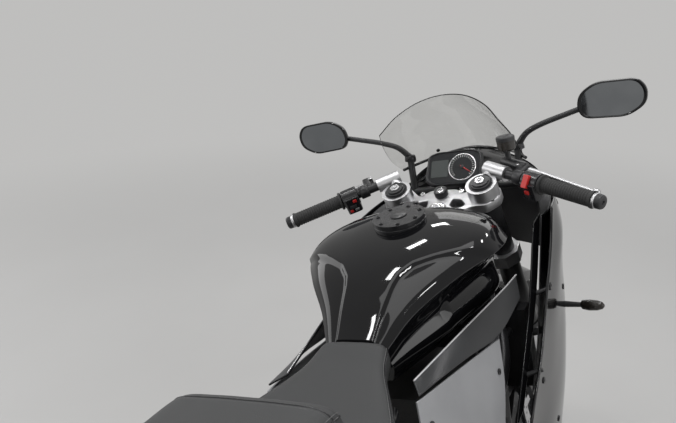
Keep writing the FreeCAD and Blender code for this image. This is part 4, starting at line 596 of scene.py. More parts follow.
class Blank:
    """Collects the shapes of one piece in upright millimetres, then makes it an object."""

    def __init__(self, name: str, finish: Finish, centre: Vector | None = None) -> None:
        """Starts a piece in one finish.

        Args:
            name: The piece's name.
            finish: The finish of its first shapes.
            centre: A wheel's centre, for a tread that goes round it.
        """
        self.name = name
        self.points: list[Vector] = []
        self.faces: list[tuple[int, ...]] = []
        self.paints: list[int] = []
        self.materials = [PAINT.material(finish, centre)]
        self.paint = 0

    def use(self, finish: Finish) -> "Blank":
        """Gives the shapes that follow another finish.

        Args:
            finish: The finish.

        Returns:
            The blank.
        """
        material = PAINT.material(finish)
        if material not in self.materials:
            self.materials.append(material)
        self.paint = self.materials.index(material)
        return self

    def add(self, points: Sequence[Vector], faces: Sequence[Sequence[int]]) -> "Blank":
        """Adds corners and the faces between them.

        Args:
            points: The corners.
            faces: Each face's corners, counted from the first of these.

        Returns:
            The blank.
        """
        base = len(self.points)
        self.points.extend(Vector(point) for point in points)
        self.faces.extend(tuple(base + k for k in face) for face in faces)
        self.paints.extend(self.paint for _ in faces)
        return self

    def loft(self, rings: Rings, caps: bool = True) -> "Blank":
        """Adds a skin through closed rings.

        Args:
            rings: The rings, each with as many points.
            caps: Whether both ends are closed with a fan.

        Returns:
            The blank.
        """
        count = len(rings[0])
        points = [point for ring in rings for point in ring]
        faces = []
        for row in range(len(rings) - 1):
            for k in range(count):
                after = (k + 1) % count
                a, b = row * count + k, row * count + after
                faces.append((a, b, b + count, a + count))
        if caps:
            for row in (0, len(rings) - 1):
                middle = sum(rings[row], Vector()) / count
                points.append(middle)
                for k in range(count):
                    faces.append((row * count + k, row * count + (k + 1) % count, len(points) - 1))
        return self.add(points, faces)

    def sheet(self, grid: Rings, thickness: float, outward: Vector) -> "Blank":
        """Adds a panel whose outer face is a grid, thick towards its inner side.

        Args:
            grid: The outer face's corners.
            thickness: How thick the panel is.
            outward: A direction that points out of its middle.

        Returns:
            The blank.
        """
        rows, columns = len(grid), len(grid[0])
        i, j = (rows - 1) // 2, (columns - 1) // 2
        if (grid[i + 1][j] - grid[i][j]).cross(grid[i][j + 1] - grid[i][j]).dot(outward) < 0:
            grid = [row[::-1] for row in grid]
        inner = []
        for i in range(rows):
            for j in range(columns):
                along = grid[min(i + 1, rows - 1)][j] - grid[max(i - 1, 0)][j]
                across = grid[i][min(j + 1, columns - 1)] - grid[i][max(j - 1, 0)]
                inner.append(grid[i][j] - along.cross(across).normalized() * thickness)
        points = [point for row in grid for point in row] + inner
        shift = rows * columns
        faces = []
        for i in range(rows - 1):
            for j in range(columns - 1):
                a = i * columns + j
                quad = (a, a + columns, a + columns + 1, a + 1)
                faces += [quad, tuple(k + shift for k in quad[::-1])]
        rim = list(range(columns)) + [i * columns + columns - 1 for i in range(1, rows)]
        rim += [(rows - 1) * columns + j for j in range(columns - 2, -1, -1)]
        rim += [i * columns for i in range(rows - 2, 0, -1)]
        for a, b in zip(rim, rim[1:] + rim[:1]):
            faces.append((a, b, b + shift, a + shift))
        return self.add(points, faces)

    def lathe(self, profile: Sequence[Flat], origin: Vector, axis: Vector, segments: int = 32,
              closed: bool = False) -> "Blank":
        """Adds a turned shape.

        Args:
            profile: Its corners, as distances along the axis and from it.
            origin: Where the axis starts.
            axis: The way that it runs.
            segments: How many sides it has.
            closed: Whether the profile is a closed line, as a ring's is.

        Returns:
            The blank.
        """
        axis = axis.normalized()
        side, other = crossing(axis)
        rings = [circle(origin + axis * along, side, other, max(radius, LEAST_RADIUS), segments)
                 for along, radius in profile]
        if closed:
            return self.loft(rings + rings[:1], caps=False)
        return self.loft(rings)

    def turn(self, parts: Turned, origin: Vector, axis: Vector) -> "Blank":
        """Adds turned shapes on one axis.

        Args:
            parts: Each shape's finish, number of sides and profile.
            origin: Where the axis starts.
            axis: The way that it runs.

        Returns:
            The blank.
        """
        for finish, segments, profile in parts:
            self.use(finish).lathe(profile, origin, axis, segments)
        return self

    def tube(self, corners: Sequence[Vector], radius: float | Sequence[float], steps: int = 6,
             segments: int = 16) -> "Blank":
        """Adds a round tube along a smooth line.

        Args:
            corners: The points that the line passes through.
            radius: One radius, or one for each corner.
            steps: Pieces between two corners.
            segments: How many sides it has.

        Returns:
            The blank.
        """
        line = line_through(list(corners), steps)
        radii = [radius] * len(corners) if isinstance(radius, (int, float)) else list(radius)
        fine = line_through([Vector((r, 0, 0)) for r in radii], steps)
        side = (line[1] - line[0]).orthogonal().normalized()
        rings = []
        for k, point in enumerate(line):
            ahead = (line[min(k + 1, len(line) - 1)] - line[max(k - 1, 0)]).normalized()
            side = (side - ahead * side.dot(ahead)).normalized()
            rings.append(circle(point, side, ahead.cross(side), fine[k].x, segments))
        return self.loft(rings)

    def prism(self, outline: Sequence[Flat], origin: Vector, u: Vector, v: Vector,
              height: float) -> "Blank":
        """Adds a flat outline carried along u cross v.

        Args:
            outline: Its corners along u and v.
            origin: Where the outline's zero lies.
            u: The first direction.
            v: The second direction.
            height: How far it is carried.

        Returns:
            The blank.
        """
        u, v = u.normalized(), v.normalized()
        rise = u.cross(v).normalized() * height
        low = [origin + u * a + v * b for a, b in outline]
        count = len(low)
        faces: list[Sequence[int]] = [tuple(range(count))[::-1], tuple(range(count, 2 * count))]
        faces += [(k, (k + 1) % count, (k + 1) % count + count, k + count) for k in range(count)]
        return self.add(low + [point + rise for point in low], faces)

    def block(self, centre: Vector, u: Vector, v: Vector, half: Corner, corner: float = 2.0) -> "Blank":
        """Adds a box with rounded upright edges.

        Args:
            centre: Its middle.
            u: The first direction.
            v: The second direction.
            half: Half its sizes along u, v and their cross.
            corner: Where its edges' curves start.

        Returns:
            The blank.
        """
        a, b, c = half
        outline = rounded([(-a, -b), (a, -b), (a, b), (-a, b)], corner, 3)
        return self.prism(outline, centre - u.normalized().cross(v.normalized()) * c, u, v, 2 * c)

    def plate(self, outlines: Sequence[Sequence[Flat]], origin: Vector, u: Vector, v: Vector,
              height: float, bevel: float) -> "Blank":
        """Adds a flat plate with holes and rounded edges.

        Args:
            outlines: The outside, then each hole.
            origin: Where the outlines' zero lies, in the plate's middle plane.
            u: The first direction.
            v: The second direction.
            height: How thick it is.
            bevel: How much its edges are rounded.

        Returns:
            The blank.
        """
        curve = bpy.data.curves.new("plate_outline", "CURVE")
        curve.dimensions = "2D"
        curve.fill_mode = "BOTH"
        curve.extrude = height / 2 - bevel
        curve.bevel_depth = bevel
        curve.bevel_resolution = 2
        curve.offset = -bevel
        for outline in outlines:
            add_line(curve, [(a, b, 0) for a, b in outline], True)
        holder = add_object("plate_outline", curve)
        mesh = applied(holder)
        u, v = u.normalized(), v.normalized()
        rise = u.cross(v)
        points = [origin + u * p.co.x + v * p.co.y + rise * p.co.z for p in mesh.vertices]
        self.add(points, [tuple(face.vertices) for face in mesh.polygons])
        bpy.data.objects.remove(holder)
        return self

    def both_sides(self) -> "Blank":
        """Adds the mirror image, over on the right, of everything so far.

        Returns:
            The blank.
        """
        paints = self.paints * 2
        self.add([flipped(point) for point in self.points], [face[::-1] for face in self.faces])
        self.paints = paints
        return self

    def mesh(self, angle: float) -> Mesh:
        """The mesh in the frame's metres, closed and turned outwards.

        Args:
            angle: Edges sharper than this stay sharp.

        Returns:
            The mesh.
        """
        made = bpy.data.meshes.new(self.name)
        made.from_pydata([PLACE @ point for point in self.points], [], self.faces)
        for material in self.materials:
            made.materials.append(material)
        made.polygons.foreach_set("material_index", self.paints)
        work = bmesh.new()
        work.from_mesh(made)
        bmesh.ops.remove_doubles(work, verts=work.verts, dist=SAME_PLACE)
        bmesh.ops.dissolve_degenerate(work, edges=work.edges, dist=SAME_PLACE / 2)
        bmesh.ops.recalc_face_normals(work, faces=work.faces)
        work.to_mesh(made)
        work.free()
        made.shade_smooth()
        made.set_sharp_from_angle(angle=math.radians(angle))
        return made

    def done(self, body: str, replaces: Sequence[str] = (), slot: str | None = None, bevel: float = 0.0,
             angle: float = SHARP, cutter: "Blank | None" = None) -> Object:
        """Makes the object and tells the frame about it.

        Args:
            body: The body that it rides on.
            replaces: Nodes that it stands for.
            slot: The record's material slot; not used.
            bevel: Width of its rounded edges in millimetres.
            angle: Edges sharper than this stay sharp.
            cutter: A shape to take away.

        Returns:
            The object.
        """
        made = add_object(self.name, self.mesh(angle))
        if cutter:
            carve(made, cutter, angle)
        if bevel:
            soften = made.modifiers.new("edges", "BEVEL")
            soften.width = bevel * 0.001
            soften.segments = 2
            soften.limit_method = "ANGLE"
            soften.angle_limit = math.radians(SHARP)
            settle(made)
        return declare(made, body, replaces)


def carve(made: Object, cutter: Blank, angle: float) -> None:
    """Cuts another shape out of an object's mesh.

    Args:
        made: The object, which keeps its name.
        cutter: The shape to take away.
        angle: Edges sharper than this stay sharp.
    """
    tool = add_object(cutter.name, cutter.mesh(SHARP))
    cut = made.modifiers.new("cut", "BOOLEAN")
    cut.operation = "DIFFERENCE"
    cut.solver = "EXACT"
    cut.object = tool
    settle(made)
    made.data.set_sharp_from_angle(angle=math.radians(angle))
    bpy.data.objects.remove(tool)


def declare(made: Object, body: str, replaces: Sequence[str] = ()) -> Object:
    """Tells the frame what a finished piece is.

    Args:
        made: The piece.
        body: The body that it rides on.
        replaces: Nodes that it stands for.

    Returns:
        The piece.
    """
    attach(made, body)
    if replaces:
        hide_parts(*replaces)
    LOG.info("%s rides on %s with %d faces", made.name, body, len(made.data.polygons))
    return made


class Pattern(Wiring):
    """A Geometry Nodes tree that repeats a small shape, built with named inputs."""

    def __init__(self, name: str, inputs: Sequence[tuple[str, str, float]]) -> None:
        """Starts a tree with a geometry in and out and some named numbers.

        Args:
            name: The tree's name.
            inputs: Each input's name, socket type and value.
        """
        super().__init__(bpy.data.node_groups.new(name, "GeometryNodeTree"))
        self.tree.interface.new_socket("Geometry", in_out="INPUT", socket_type="NodeSocketGeometry")
        self.values = {}
        for label, kind, value in inputs:
            socket = self.tree.interface.new_socket(label, in_out="INPUT", socket_type=kind)
            self.values[socket.identifier] = value
        self.tree.interface.new_socket("Geometry", in_out="OUTPUT", socket_type="NodeSocketGeometry")
        self.given = self.node("NodeGroupInput")
        self.out = self.node("NodeGroupOutput")

    def end(self, geometry: NodeSocket, finish: Finish) -> None:
        """Ends the tree in real geometry with a material.

        Args:
            geometry: What the tree has made so far.
            finish: Its finish.
        """
        real = self.node("GeometryNodeRealizeInstances", {0: geometry})
        feeds = {"Geometry": real.outputs[0], "Material": PAINT.material(finish)}
        self.join(self.node("GeometryNodeSetMaterial", feeds).outputs[0], self.out.inputs[0])

    def scatter(self, shape: NodeSocket, points: NodeSocket,
                facing: NodeSocket, axis: str, finish: Finish) -> None:
        """Ends the tree with a shape on every point.

        Args:
            shape: The small shape.
            points: Where it is repeated.
            facing: The way that each one faces.
            axis: The shape's own axis that is turned that way.
            finish: The shapes' finish.
        """
        turn = self.node("FunctionNodeAlignRotationToVector", {"Vector": facing}, axis=axis)
        feeds = {"Points": points, "Instance": shape, "Rotation": turn.outputs["Rotation"]}
        self.end(self.node("GeometryNodeInstanceOnPoints", feeds).outputs["Instances"], finish)

    def scatter_facing(self, shape: NodeSocket, finish: Finish) -> None:
        """Ends the tree with a shape on every given point, its Z axis along the point's facing."""
        facing = self.node("GeometryNodeInputNamedAttribute", {"Name": "facing"}, data_type="FLOAT_VECTOR")
        self.scatter(shape, self.given.outputs["Geometry"], facing.outputs["Attribute"], "Z", finish)

    def run(self, source: bpy.types.ID, name: str) -> Object:
        """Runs the tree on a mesh or curve and returns a plain object in the frame.

        Args:
            source: The mesh or curve data that goes in.
            name: The finished object's name.

        Returns:
            The object.
        """
        holder = add_object(name + "_source", source)
        modifier = holder.modifiers.new("pattern", "NODES")
        modifier.node_group = self.tree
        for identifier, value in self.values.items():
            modifier[identifier] = value
        mesh = applied(holder)
        mesh.transform(PLACE)
        mesh.name = name
        mesh.shade_smooth()
        mesh.set_sharp_from_angle(angle=math.radians(SHARP))
        bpy.data.objects.remove(holder)
        return add_object(name, mesh)


def seat_on(grid: Rings, down: float, along: float, outward: Vector) -> Seat:
    """A place on a panel's outer face and the way it faces there.

    Args:
        grid: The outer face's corners.
        down: How far through its rows, from 0 to 1.
        along: How far through its columns, from 0 to 1.
        outward: A direction that points out of the face.

    Returns:
        The place and its unit normal.
    """
    i = min(round(down * (len(grid) - 1)), len(grid) - 2)
    j = min(round(along * (len(grid[0]) - 1)), len(grid[0]) - 2)
    normal = (grid[i + 1][j] - grid[i][j]).cross(grid[i][j + 1] - grid[i][j]).normalized()
    return grid[i][j], normal if normal.dot(outward) > 0 else -normal


def on_both(places: Sequence[Seat]) -> list[Seat]:
    """The given seats on the left and their twins on the right."""
    return [seat for p, n in places for seat in ((p, n), (flipped(p), flipped(n)))]


def points_mesh(name: str, places: Sequence[Seat]) -> Mesh:
    """A mesh of loose points, each with a direction.

    Args:
        name: The mesh's name.
        places: The points and the way that each one faces.

    Returns:
        The mesh.
    """
    mesh = bpy.data.meshes.new(name)
    mesh.from_pydata([point for point, _ in places], [], [])
    facing = mesh.attributes.new("facing", "FLOAT_VECTOR", "POINT")
    for item, (_, normal) in zip(facing.data, places):
        item.vector = normal
    return mesh


def curve_data(name: str, points: Sequence[Vector], closed: bool) -> Curve:
    """A plain curve through points.

    Args:
        name: The curve's name.
        points: The points.
        closed: Whether it comes back to its start.

    Returns:
        The curve.
    """
    curve = bpy.data.curves.new(name, "CURVE")
    curve.dimensions = "3D"
    add_line(curve, points, closed)
    return curve


HEAD_SIDES, SOCKET_SIDES = 16, 6
SOCKET_RISE = 0.45
SEAT_LIFT = 0.2


def screws(name: str, body: str, places: Sequence[Seat], radius: float, height: float,
           finish: Finish) -> Object:
    """Socket screws at given places.

    Args:
        name: The object's name.
        body: The body that they ride on.
        places: Each screw's seat and the way it faces.
        radius: Head radius in millimetres.
        height: Head height in millimetres.
        finish: Their finish.

    Returns:
        The object.
    """
    pattern = Pattern(name, (("Head radius", "NodeSocketFloat", radius),
                             ("Head height", "NodeSocketFloat", height)))
    across, deep = pattern.given.outputs[1], pattern.given.outputs[2]
    head, socket = [
        pattern.node("GeometryNodeMeshCylinder", {"Vertices": sides, "Radius": size, "Depth": deep})
        for sides, size in ((HEAD_SIDES, across), (SOCKET_SIDES, pattern.math("MULTIPLY", across, 0.5)))]
    feeds = {"Geometry": socket.outputs["Mesh"], "Translation": (0, 0, height * SOCKET_RISE)}
    sunk = pattern.node("GeometryNodeTransform", feeds)
    feeds = {"Mesh 1": head.outputs["Mesh"], "Mesh 2": sunk.outputs[0]}
    less = pattern.node("GeometryNodeMeshBoolean", feeds, operation="DIFFERENCE", solver="EXACT")
    pattern.scatter_facing(less.outputs["Mesh"], finish)
    seats = [(place + facing.normalized() * (height * SEAT_LIFT), facing) for place, facing in places]
    return declare(pattern.run(points_mesh(name, seats), name), body)


def marks(name: str, body: str, places: Sequence[Seat], width: float, length: float,
          finish: Finish) -> Object:
    """Short square bars at given places, each long in the way it faces.

    Args:
        name: The object's name.
        body: The body that they ride on.
        places: Each bar's middle and the way it faces.
        width: Its width in millimetres.
        length: Its length in millimetres.
        finish: Their finish.

    Returns:
        The object.
    """
    pattern = Pattern(name, (("Width", "NodeSocketFloat", width), ("Length", "NodeSocketFloat", length)))
    across, along = pattern.given.outputs[1], pattern.given.outputs[2]
    size = pattern.node("ShaderNodeCombineXYZ", {"X": across, "Y": across, "Z": along})
    bar = pattern.node("GeometryNodeMeshCube", {"Size": size.outputs[0]})
    pattern.scatter_facing(bar.outputs["Mesh"], finish)
    return declare(pattern.run(points_mesh(name, places), name), body)


def ring_of(centre: Vector, axis: Vector, radius: float, count: int) -> list[Seat]:
    """Seats evenly round a circle, all facing along its axis."""
    axis = axis.normalized()
    return [(place, axis) for place in circle(centre, *crossing(axis), radius, count)]


def along_curve(name: str, curve: Curve, shape: Object, count: int, body: str,
                finish: Finish, replaces: Sequence[str] = ()) -> Object:
    """Repeats a small shape along a curve, each one turned along it.

    Args:
        name: The object's name.
        curve: The path in upright millimetres.
        shape: The small shape, long along its own X axis.
        count: How many there are.
        body: The body that they ride on.
        finish: Their finish.
        replaces: Nodes that they stand for.

    Returns:
        The object.
    """
    pattern = Pattern(name, (("Count", "NodeSocketInt", count),))
    path, number = pattern.given.outputs["Geometry"], pattern.given.outputs[1]
    even = pattern.node("GeometryNodeResampleCurve", {"Curve": path, "Count": number})
    places = pattern.node("GeometryNodeCurveToPoints", {"Curve": even.outputs[0]}, mode="EVALUATED").outputs
    link = pattern.node("GeometryNodeObjectInfo", {"Object": shape})
    pattern.scatter(link.outputs["Geometry"], places["Points"], places["Tangent"], "X", finish)
    made = pattern.run(curve, name)
    bpy.data.objects.remove(shape)
    return declare(made, body, replaces)


def small_shape(name: str, points: Sequence[Corner], faces: Sequence[Sequence[int]]) -> Object:
    """A small mesh for a pattern to repeat.

    Args:
        name: The object's name.
        points: Its corners.
        faces: Each face's corners.

    Returns:
        The object.
    """
    mesh = bpy.data.meshes.new(name)
    mesh.from_pydata([Vector(point) for point in points], [], [tuple(face) for face in faces])
    return add_object(name, mesh)


BOX_FACES = ((0, 3, 2, 1), (4, 5, 6, 7), (0, 1, 5, 4), (1, 2, 6, 5), (2, 3, 7, 6), (3, 0, 4, 7))


def box_corners(low: Corner, high: Corner) -> list[Corner]:
    """A box's eight corners, in the order that BOX_FACES needs."""
    square = ((low[0], low[1]), (high[0], low[1]), (high[0], high[1]), (low[0], high[1]))
    return [(x, y, z) for z in (low[2], high[2]) for x, y in square]


@dataclass
class CarriedOver:
    """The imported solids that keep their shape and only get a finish."""

    finishes: tuple[tuple[Finish, tuple[str, ...]], ...] = (
        (BLACK_METAL, ("front_wheel", "rear_wheel", "radiator", "front_calipers", "rear_caliper",
                       "fairing_stay", "panel_brackets", "stand_bracket", "side_stand", "rear_shock",
                       "fork_outer_tubes")),
        (MACHINED, ("front_discs", "rear_disc", "rear_sprocket", "front_axle", "rear_axle",
                    "swingarm_pivot")),
        (CHROME, ("fork_lowers",)),
        (CAST_SILVER, ("bottom_yoke", "clip_ons", "footrests")),
        (SMOOTH_PLASTIC, ("fuel_cap",)),
        (FRAME_PAINT, ("frame_left", "frame_right", "head_tube", "subframe", "swingarm", "shock_mounts")),
        (ENGINE_PAINT, ("engine",)),
        (HEAT_STEEL, ("exhaust_headers", "silencer")),
        (BLACK_PLASTIC, ("plate_hanger", "rear_hugger")),
        (PANEL_LACQUER, ("front_mudguard",)),
        (LENS, ("headlamps",)),
        (RED_LENS, ("tail_light",)),
    )

    def dress(self) -> None:
        """Gives every node its material."""
        for finish, labels in self.finishes:
            for label in labels:
                solid = frame["nodes"][label]
                solid.data.materials.clear()
                solid.data.materials.append(PAINT.material(finish))
                LOG.info("%s carried over in %s", label, finish.name)


@dataclass
class Tyre:
    """One tyre: beads, bulging walls and a round tread."""

    name: str
    body: str
    centre: Vector
    radius: float
    width: float
    crown: float
    rim_width: float
    bead: float = 218.0

    def profile(self) -> list[Flat]:
        """The closed section.

        Returns:
            Its corners, as distances along the axle and from it.
        """
        half, rim = self.width / 2, self.rim_width / 2
        edge = half - 3
        middle = self.radius - self.crown
        shoulder = middle + math.sqrt(self.crown ** 2 - edge ** 2)
        wall = (self.bead + shoulder) / 2 + 3
        side = [Vector((rim, self.bead, 0)), Vector((rim, self.bead + 8, 0)), Vector((half - 1, wall, 0)),
                Vector((edge, shoulder, 0))]
        right = line_through(side, 6, (1,))
        start = math.asin(edge / self.crown)
        angles = [start * (1 - k / 12) for k in range(1, 24)]
        tread = [(self.crown * math.sin(a), middle + self.crown * math.cos(a)) for a in angles]
        line = [(p.x, p.y) for p in right] + tread
        return line + [(-p.x, p.y) for p in right[::-1]]

    def build(self) -> None:
        """Builds the tyre with its tread."""
        blank = Blank(self.name, TYRE_RUBBER, self.centre)
        blank.lathe(self.profile(), self.centre, Y, 144, closed=True)
        blank.done(self.body, (self.name.replace("_cover", ""),), "tyre", angle=60)


@dataclass
class DriveChain:
    """The drive chain, link by link round its two sprockets."""

    front: Vector = Vector((-118, 0, 400))
    place: float = 105.0
    front_radius: float = 38.0
    rear_radius: float = 96.0
    count: int = 102
    steps: int = 24
    link: tuple[tuple[Corner, Corner], ...] = (
        ((-7.6, -6.8, -5.6), (7.6, -4.4, 5.6)), ((-7.6, 4.4, -5.6), (7.6, 6.8, 5.6)),
        ((-2.8, -4.6, -3.6), (2.8, 4.6, 3.6)),
    )

    def path(self) -> list[Vector]:
        """The middle of the chain.

        Returns:
            Points along it, once round.
        """
        span = self.front - REAR_AXLE
        forward = span.normalized()
        upward = Vector((-forward.z, 0, forward.x))
        tilt = math.asin((self.rear_radius - self.front_radius) / span.length)
        points = []
        leave = math.pi / 2 - tilt
        for centre, radius, low, high in ((self.front, self.front_radius, -leave, leave),
                                          (REAR_AXLE, self.rear_radius, leave, 2 * math.pi - leave)):
            for k in range(self.steps + 1):
                a = low + (high - low) * k / self.steps
                round_it = (forward * math.cos(a) + upward * math.sin(a)) * radius
                points.append(centre + round_it + Y * self.place)
        return points

    def build(self) -> None:
        """Builds the links."""
        points: list[Corner] = []
        faces: list[Sequence[int]] = []
        for low, high in self.link:
            faces += [tuple(k + len(points) for k in face) for face in BOX_FACES]
            points += box_corners(low, high)
        link = small_shape("chain_link", points, faces)
        path = curve_data("chain_path", self.path(), True)
        along_curve("chain_links", path, link, self.count, "chassis", CHAIN_STEEL, ("chain",))


@dataclass
class FuelTank:
    """The tank: flat floor, pinched knee recess, creased shoulder and domed top."""

    floor: float = 765.0
    stations: tuple[tuple[float, float, float, float, float], ...] = (
        (-77, 66, 68, 826, 843), (-20, 86, 98, 862, 886), (60, 112, 156, 896, 930), (148, 136, 203, 908, 956),
        (230, 152, 202, 904, 966), (292, 152, 176, 896, 958), (328, 122, 128, 882, 930),
    )
    filler: Vector = Vector((197, 0, 950))
    filler_up: Vector = Vector((-0.0995, 0, 0.995))
    recess: tuple[Flat, ...] = (
        (-110, 31), (-66, 34), (-34, 38), (13, 44), (37, 51), (64, 73), (88, 111), (110, 152), (140, 192),
        (180, 240))
    recess_depth: float = 7.0
    recess_step: float = 13.0
    recess_foot: float = 785.0
    recess_fade: float = 40.0
    core: float = 815.0

    def sunk(self, point: Vector) -> Vector:
        """A point of the shell, moved inwards where it lies in the knee recess.

        Args:
            point: The point on the plain shell.

        Returns:
            Its place on the finished shell.
        """
        here = Vector((point.x, abs(point.y)))
        reach = math.inf
        edge = math.inf
        for first, last in zip(self.recess, self.recess[1:]):
            start, span = Vector(first), Vector(last) - Vector(first)
            t = min(max((here - start).dot(span) / span.length_squared, 0.0), 1.0)
            reach = min(reach, (start + span * t - here).length)
            if first[0] <= point.x < last[0]:
                edge = first[1] + span.y * (point.x - first[0]) / span.x
        if here.y < edge:
            return point
        step = min(reach / self.recess_step, 1.0)
        low = min(max((point.z - self.recess_foot) / self.recess_fade, 0.0), 1.0)
        inward = (Vector((point.x, 0, self.core)) - point).normalized()
        return point + inward * (self.recess_depth * step * step * (3 - 2 * step) * low)

    def ring(self, x: float, waist: float, shoulder: float, shoulder_z: float, top: float) -> list[Vector]:
        """One section from the floor on the left over to the floor on the right.

        Args:
            x: Where it lies along the bike.
            waist: Half the width at the waist.
            shoulder: Half the width at the shoulder.
            shoulder_z: The shoulder's height.
            top: The height in the middle.

        Returns:
            Its corners.
        """
        rise = top - shoulder_z
        widths = (waist * 0.9, waist, waist * 0.97, shoulder, shoulder * 0.86, shoulder * 0.48, 0)
        heights = (self.floor, self.floor + 22, (self.floor + shoulder_z) / 2 + 8, shoulder_z,
                   shoulder_z + rise * 0.56, shoulder_z + rise * 0.92, top)
        return domed(x, widths, heights)

    def build(self) -> None:
        """Builds the shell, its filler collar and the lid's fittings."""
        rings = smooth_rows([self.ring(*station) for station in self.stations], 18, 20, (3, 9))
        shell = Blank("tank_shell", TANK_LACQUER)
        shell.loft([[self.sunk(point) for point in ring] for ring in rings])
        shell.done("chassis", ("fuel_tank",), "tank_black", bevel=1.6, angle=50)
        collar = Blank("filler_collar", SMOOTH_PLASTIC)
        profile = [(2, 46), (2, 54), (15.5, 54), (17, 52.5), (17, 46), (6, 44.5), (5, 0)]
        collar.lathe(profile, self.filler, self.filler_up, 48)
        hinge = self.filler + self.filler_up * 22 + Vector((0.995, 0, 0.0995)) * 62
        for side in (LEFT, RIGHT):
            collar.block(hinge + Vector((0, side * 17, -8)), X, Y, (5, 3, 13), 1.5)
        collar.lathe([(-15, 2.5), (15, 2.5)], hinge, Y, 16)
        collar.done("chassis", bevel=0.6)
        lid_top = self.filler + self.filler_up * 26.3
        cover = Blank("filler_keyhole", BLACK_METAL)
        cover.lathe([(0, 17), (1.6, 17), (2.4, 15.5), (2.4, 0)], lid_top, self.filler_up, 40)
        cover.use(CHROME).block(lid_top + self.filler_up * 2.6, X, Y, (1.2, 6, 0.5), 1.0)
        cover.done("filler_lid")
        screws("filler_screws", "filler_lid", ring_of(lid_top, self.filler_up, 44, 7), 4.2, 3.0, BLACK_METAL)


@dataclass
class Pads:
    """Rider and pillion pads with their covers, welts and stitches."""

    rider: Stations = (
        (-77.3, 62, 790, 838), (-86, 66, 788, 841), (-130, 78, 786, 827), (-200, 116, 780, 813),
        (-270, 150, 776, 809), (-318, 154, 776, 819), (-344, 152, 779, 838), (-352, 144, 782, 846),
    )
    pillion: Stations = (
        (-352.3, 118, 856, 886), (-360, 132, 851, 903), (-376, 138, 850, 914), (-470, 132, 852, 926),
        (-580, 112, 862, 944), (-690, 84, 880, 958), (-709, 74, 886, 955), (-716, 58, 900, 945),
    )
    across: int = 7
    along: int = 8
    stitch: tuple[Corner, Corner] = ((-2.6, -0.5, -0.5), (2.6, 0.5, 0.5))

    def ring(self, x: float, half: float, bottom: float, top: float) -> list[Vector]:
        """A pad's section: flat below, with a rounded edge above.

        Args:
            x: Where it lies along the bike.
            half: Half its width.
            bottom: The height of its underside.
            top: The height in the middle.

        Returns:
            Its corners.
        """
        drop = top - bottom
        widths = (half * 0.94, half, half * 0.98, half * 0.87, half * 0.45, 0)
        heights = (bottom, bottom + drop * 0.3, top - drop * 0.3, top - drop * 0.09, top - drop * 0.01, top)
        return domed(x, widths, heights)

    def sew(self, name: str, line: Sequence[Vector], count: int) -> None:
        """Sets stitches along a line."""
        stitch = small_shape("stitch", box_corners(*self.stitch), BOX_FACES)
        along_curve(name, curve_data("stitch_line", line, False), stitch, count, "chassis", THREAD)

    def pad(self, name: str, node: str, stations: Stations, density: float) -> None:
        """Builds one pad in its cover, with a grippy side band.

        Args:
            name: The piece's name.
            node: The node that it stands for.
            stations: Its sections.
            density: Stitches to each piece of its edge.
        """
        rings = smooth_rows([self.ring(*station) for station in stations], self.across, self.along)
        count = len(rings[0])
        band = 2 * self.across
        pad = Blank(name, COVER).loft(rings)
        pad.materials.append(PAINT.material(COVER_SIDE))
        for number in range(len(rings) - 1):
            for k in (*range(band), *range(count - band - 1, count)):
                pad.paints[number * count + k] = 1
        made = pad.done("chassis", (node,), "pad_cover", angle=70)
        for side, word in SIDES:
            seam = band if side > 0 else count - 1 - band
            line = [ring[seam] + Vector((0, side * 0.6, 0.6)) for ring in rings[2:-2]]
            Blank(f"{name}_welt_{word}", SMOOTH_PLASTIC).tube(line, 1.3, 1, 8).done("chassis")
            upper = [ring[seam + 2 * side] + Vector((0, side * 0.3, 0.8)) for ring in rings[2:-2]]
            self.sew(f"{name}_stitches_{word}", upper, int((len(upper) - 1) * density))

    def build(self) -> None:
        """Builds both pads and the pillion's front seam."""
        self.pad("rider_pad", "rider_seat", self.rider, 0.9)
        self.pad("pillion_pad", "pillion_seat", self.pillion, 1.3)
        seam = line_through(self.ring(-384, 138, 850, 915.5), 6)
        seam = [point + Vector((0, 0, 0.5)) for point in seam[10:-10]]
        Blank("pillion_seam", SMOOTH_PLASTIC).tube(seam, 1.5, 1, 8).done("chassis")
        self.sew("pillion_seam_stitches", [point + Vector((-6, 0, 0.9)) for point in seam], 44)


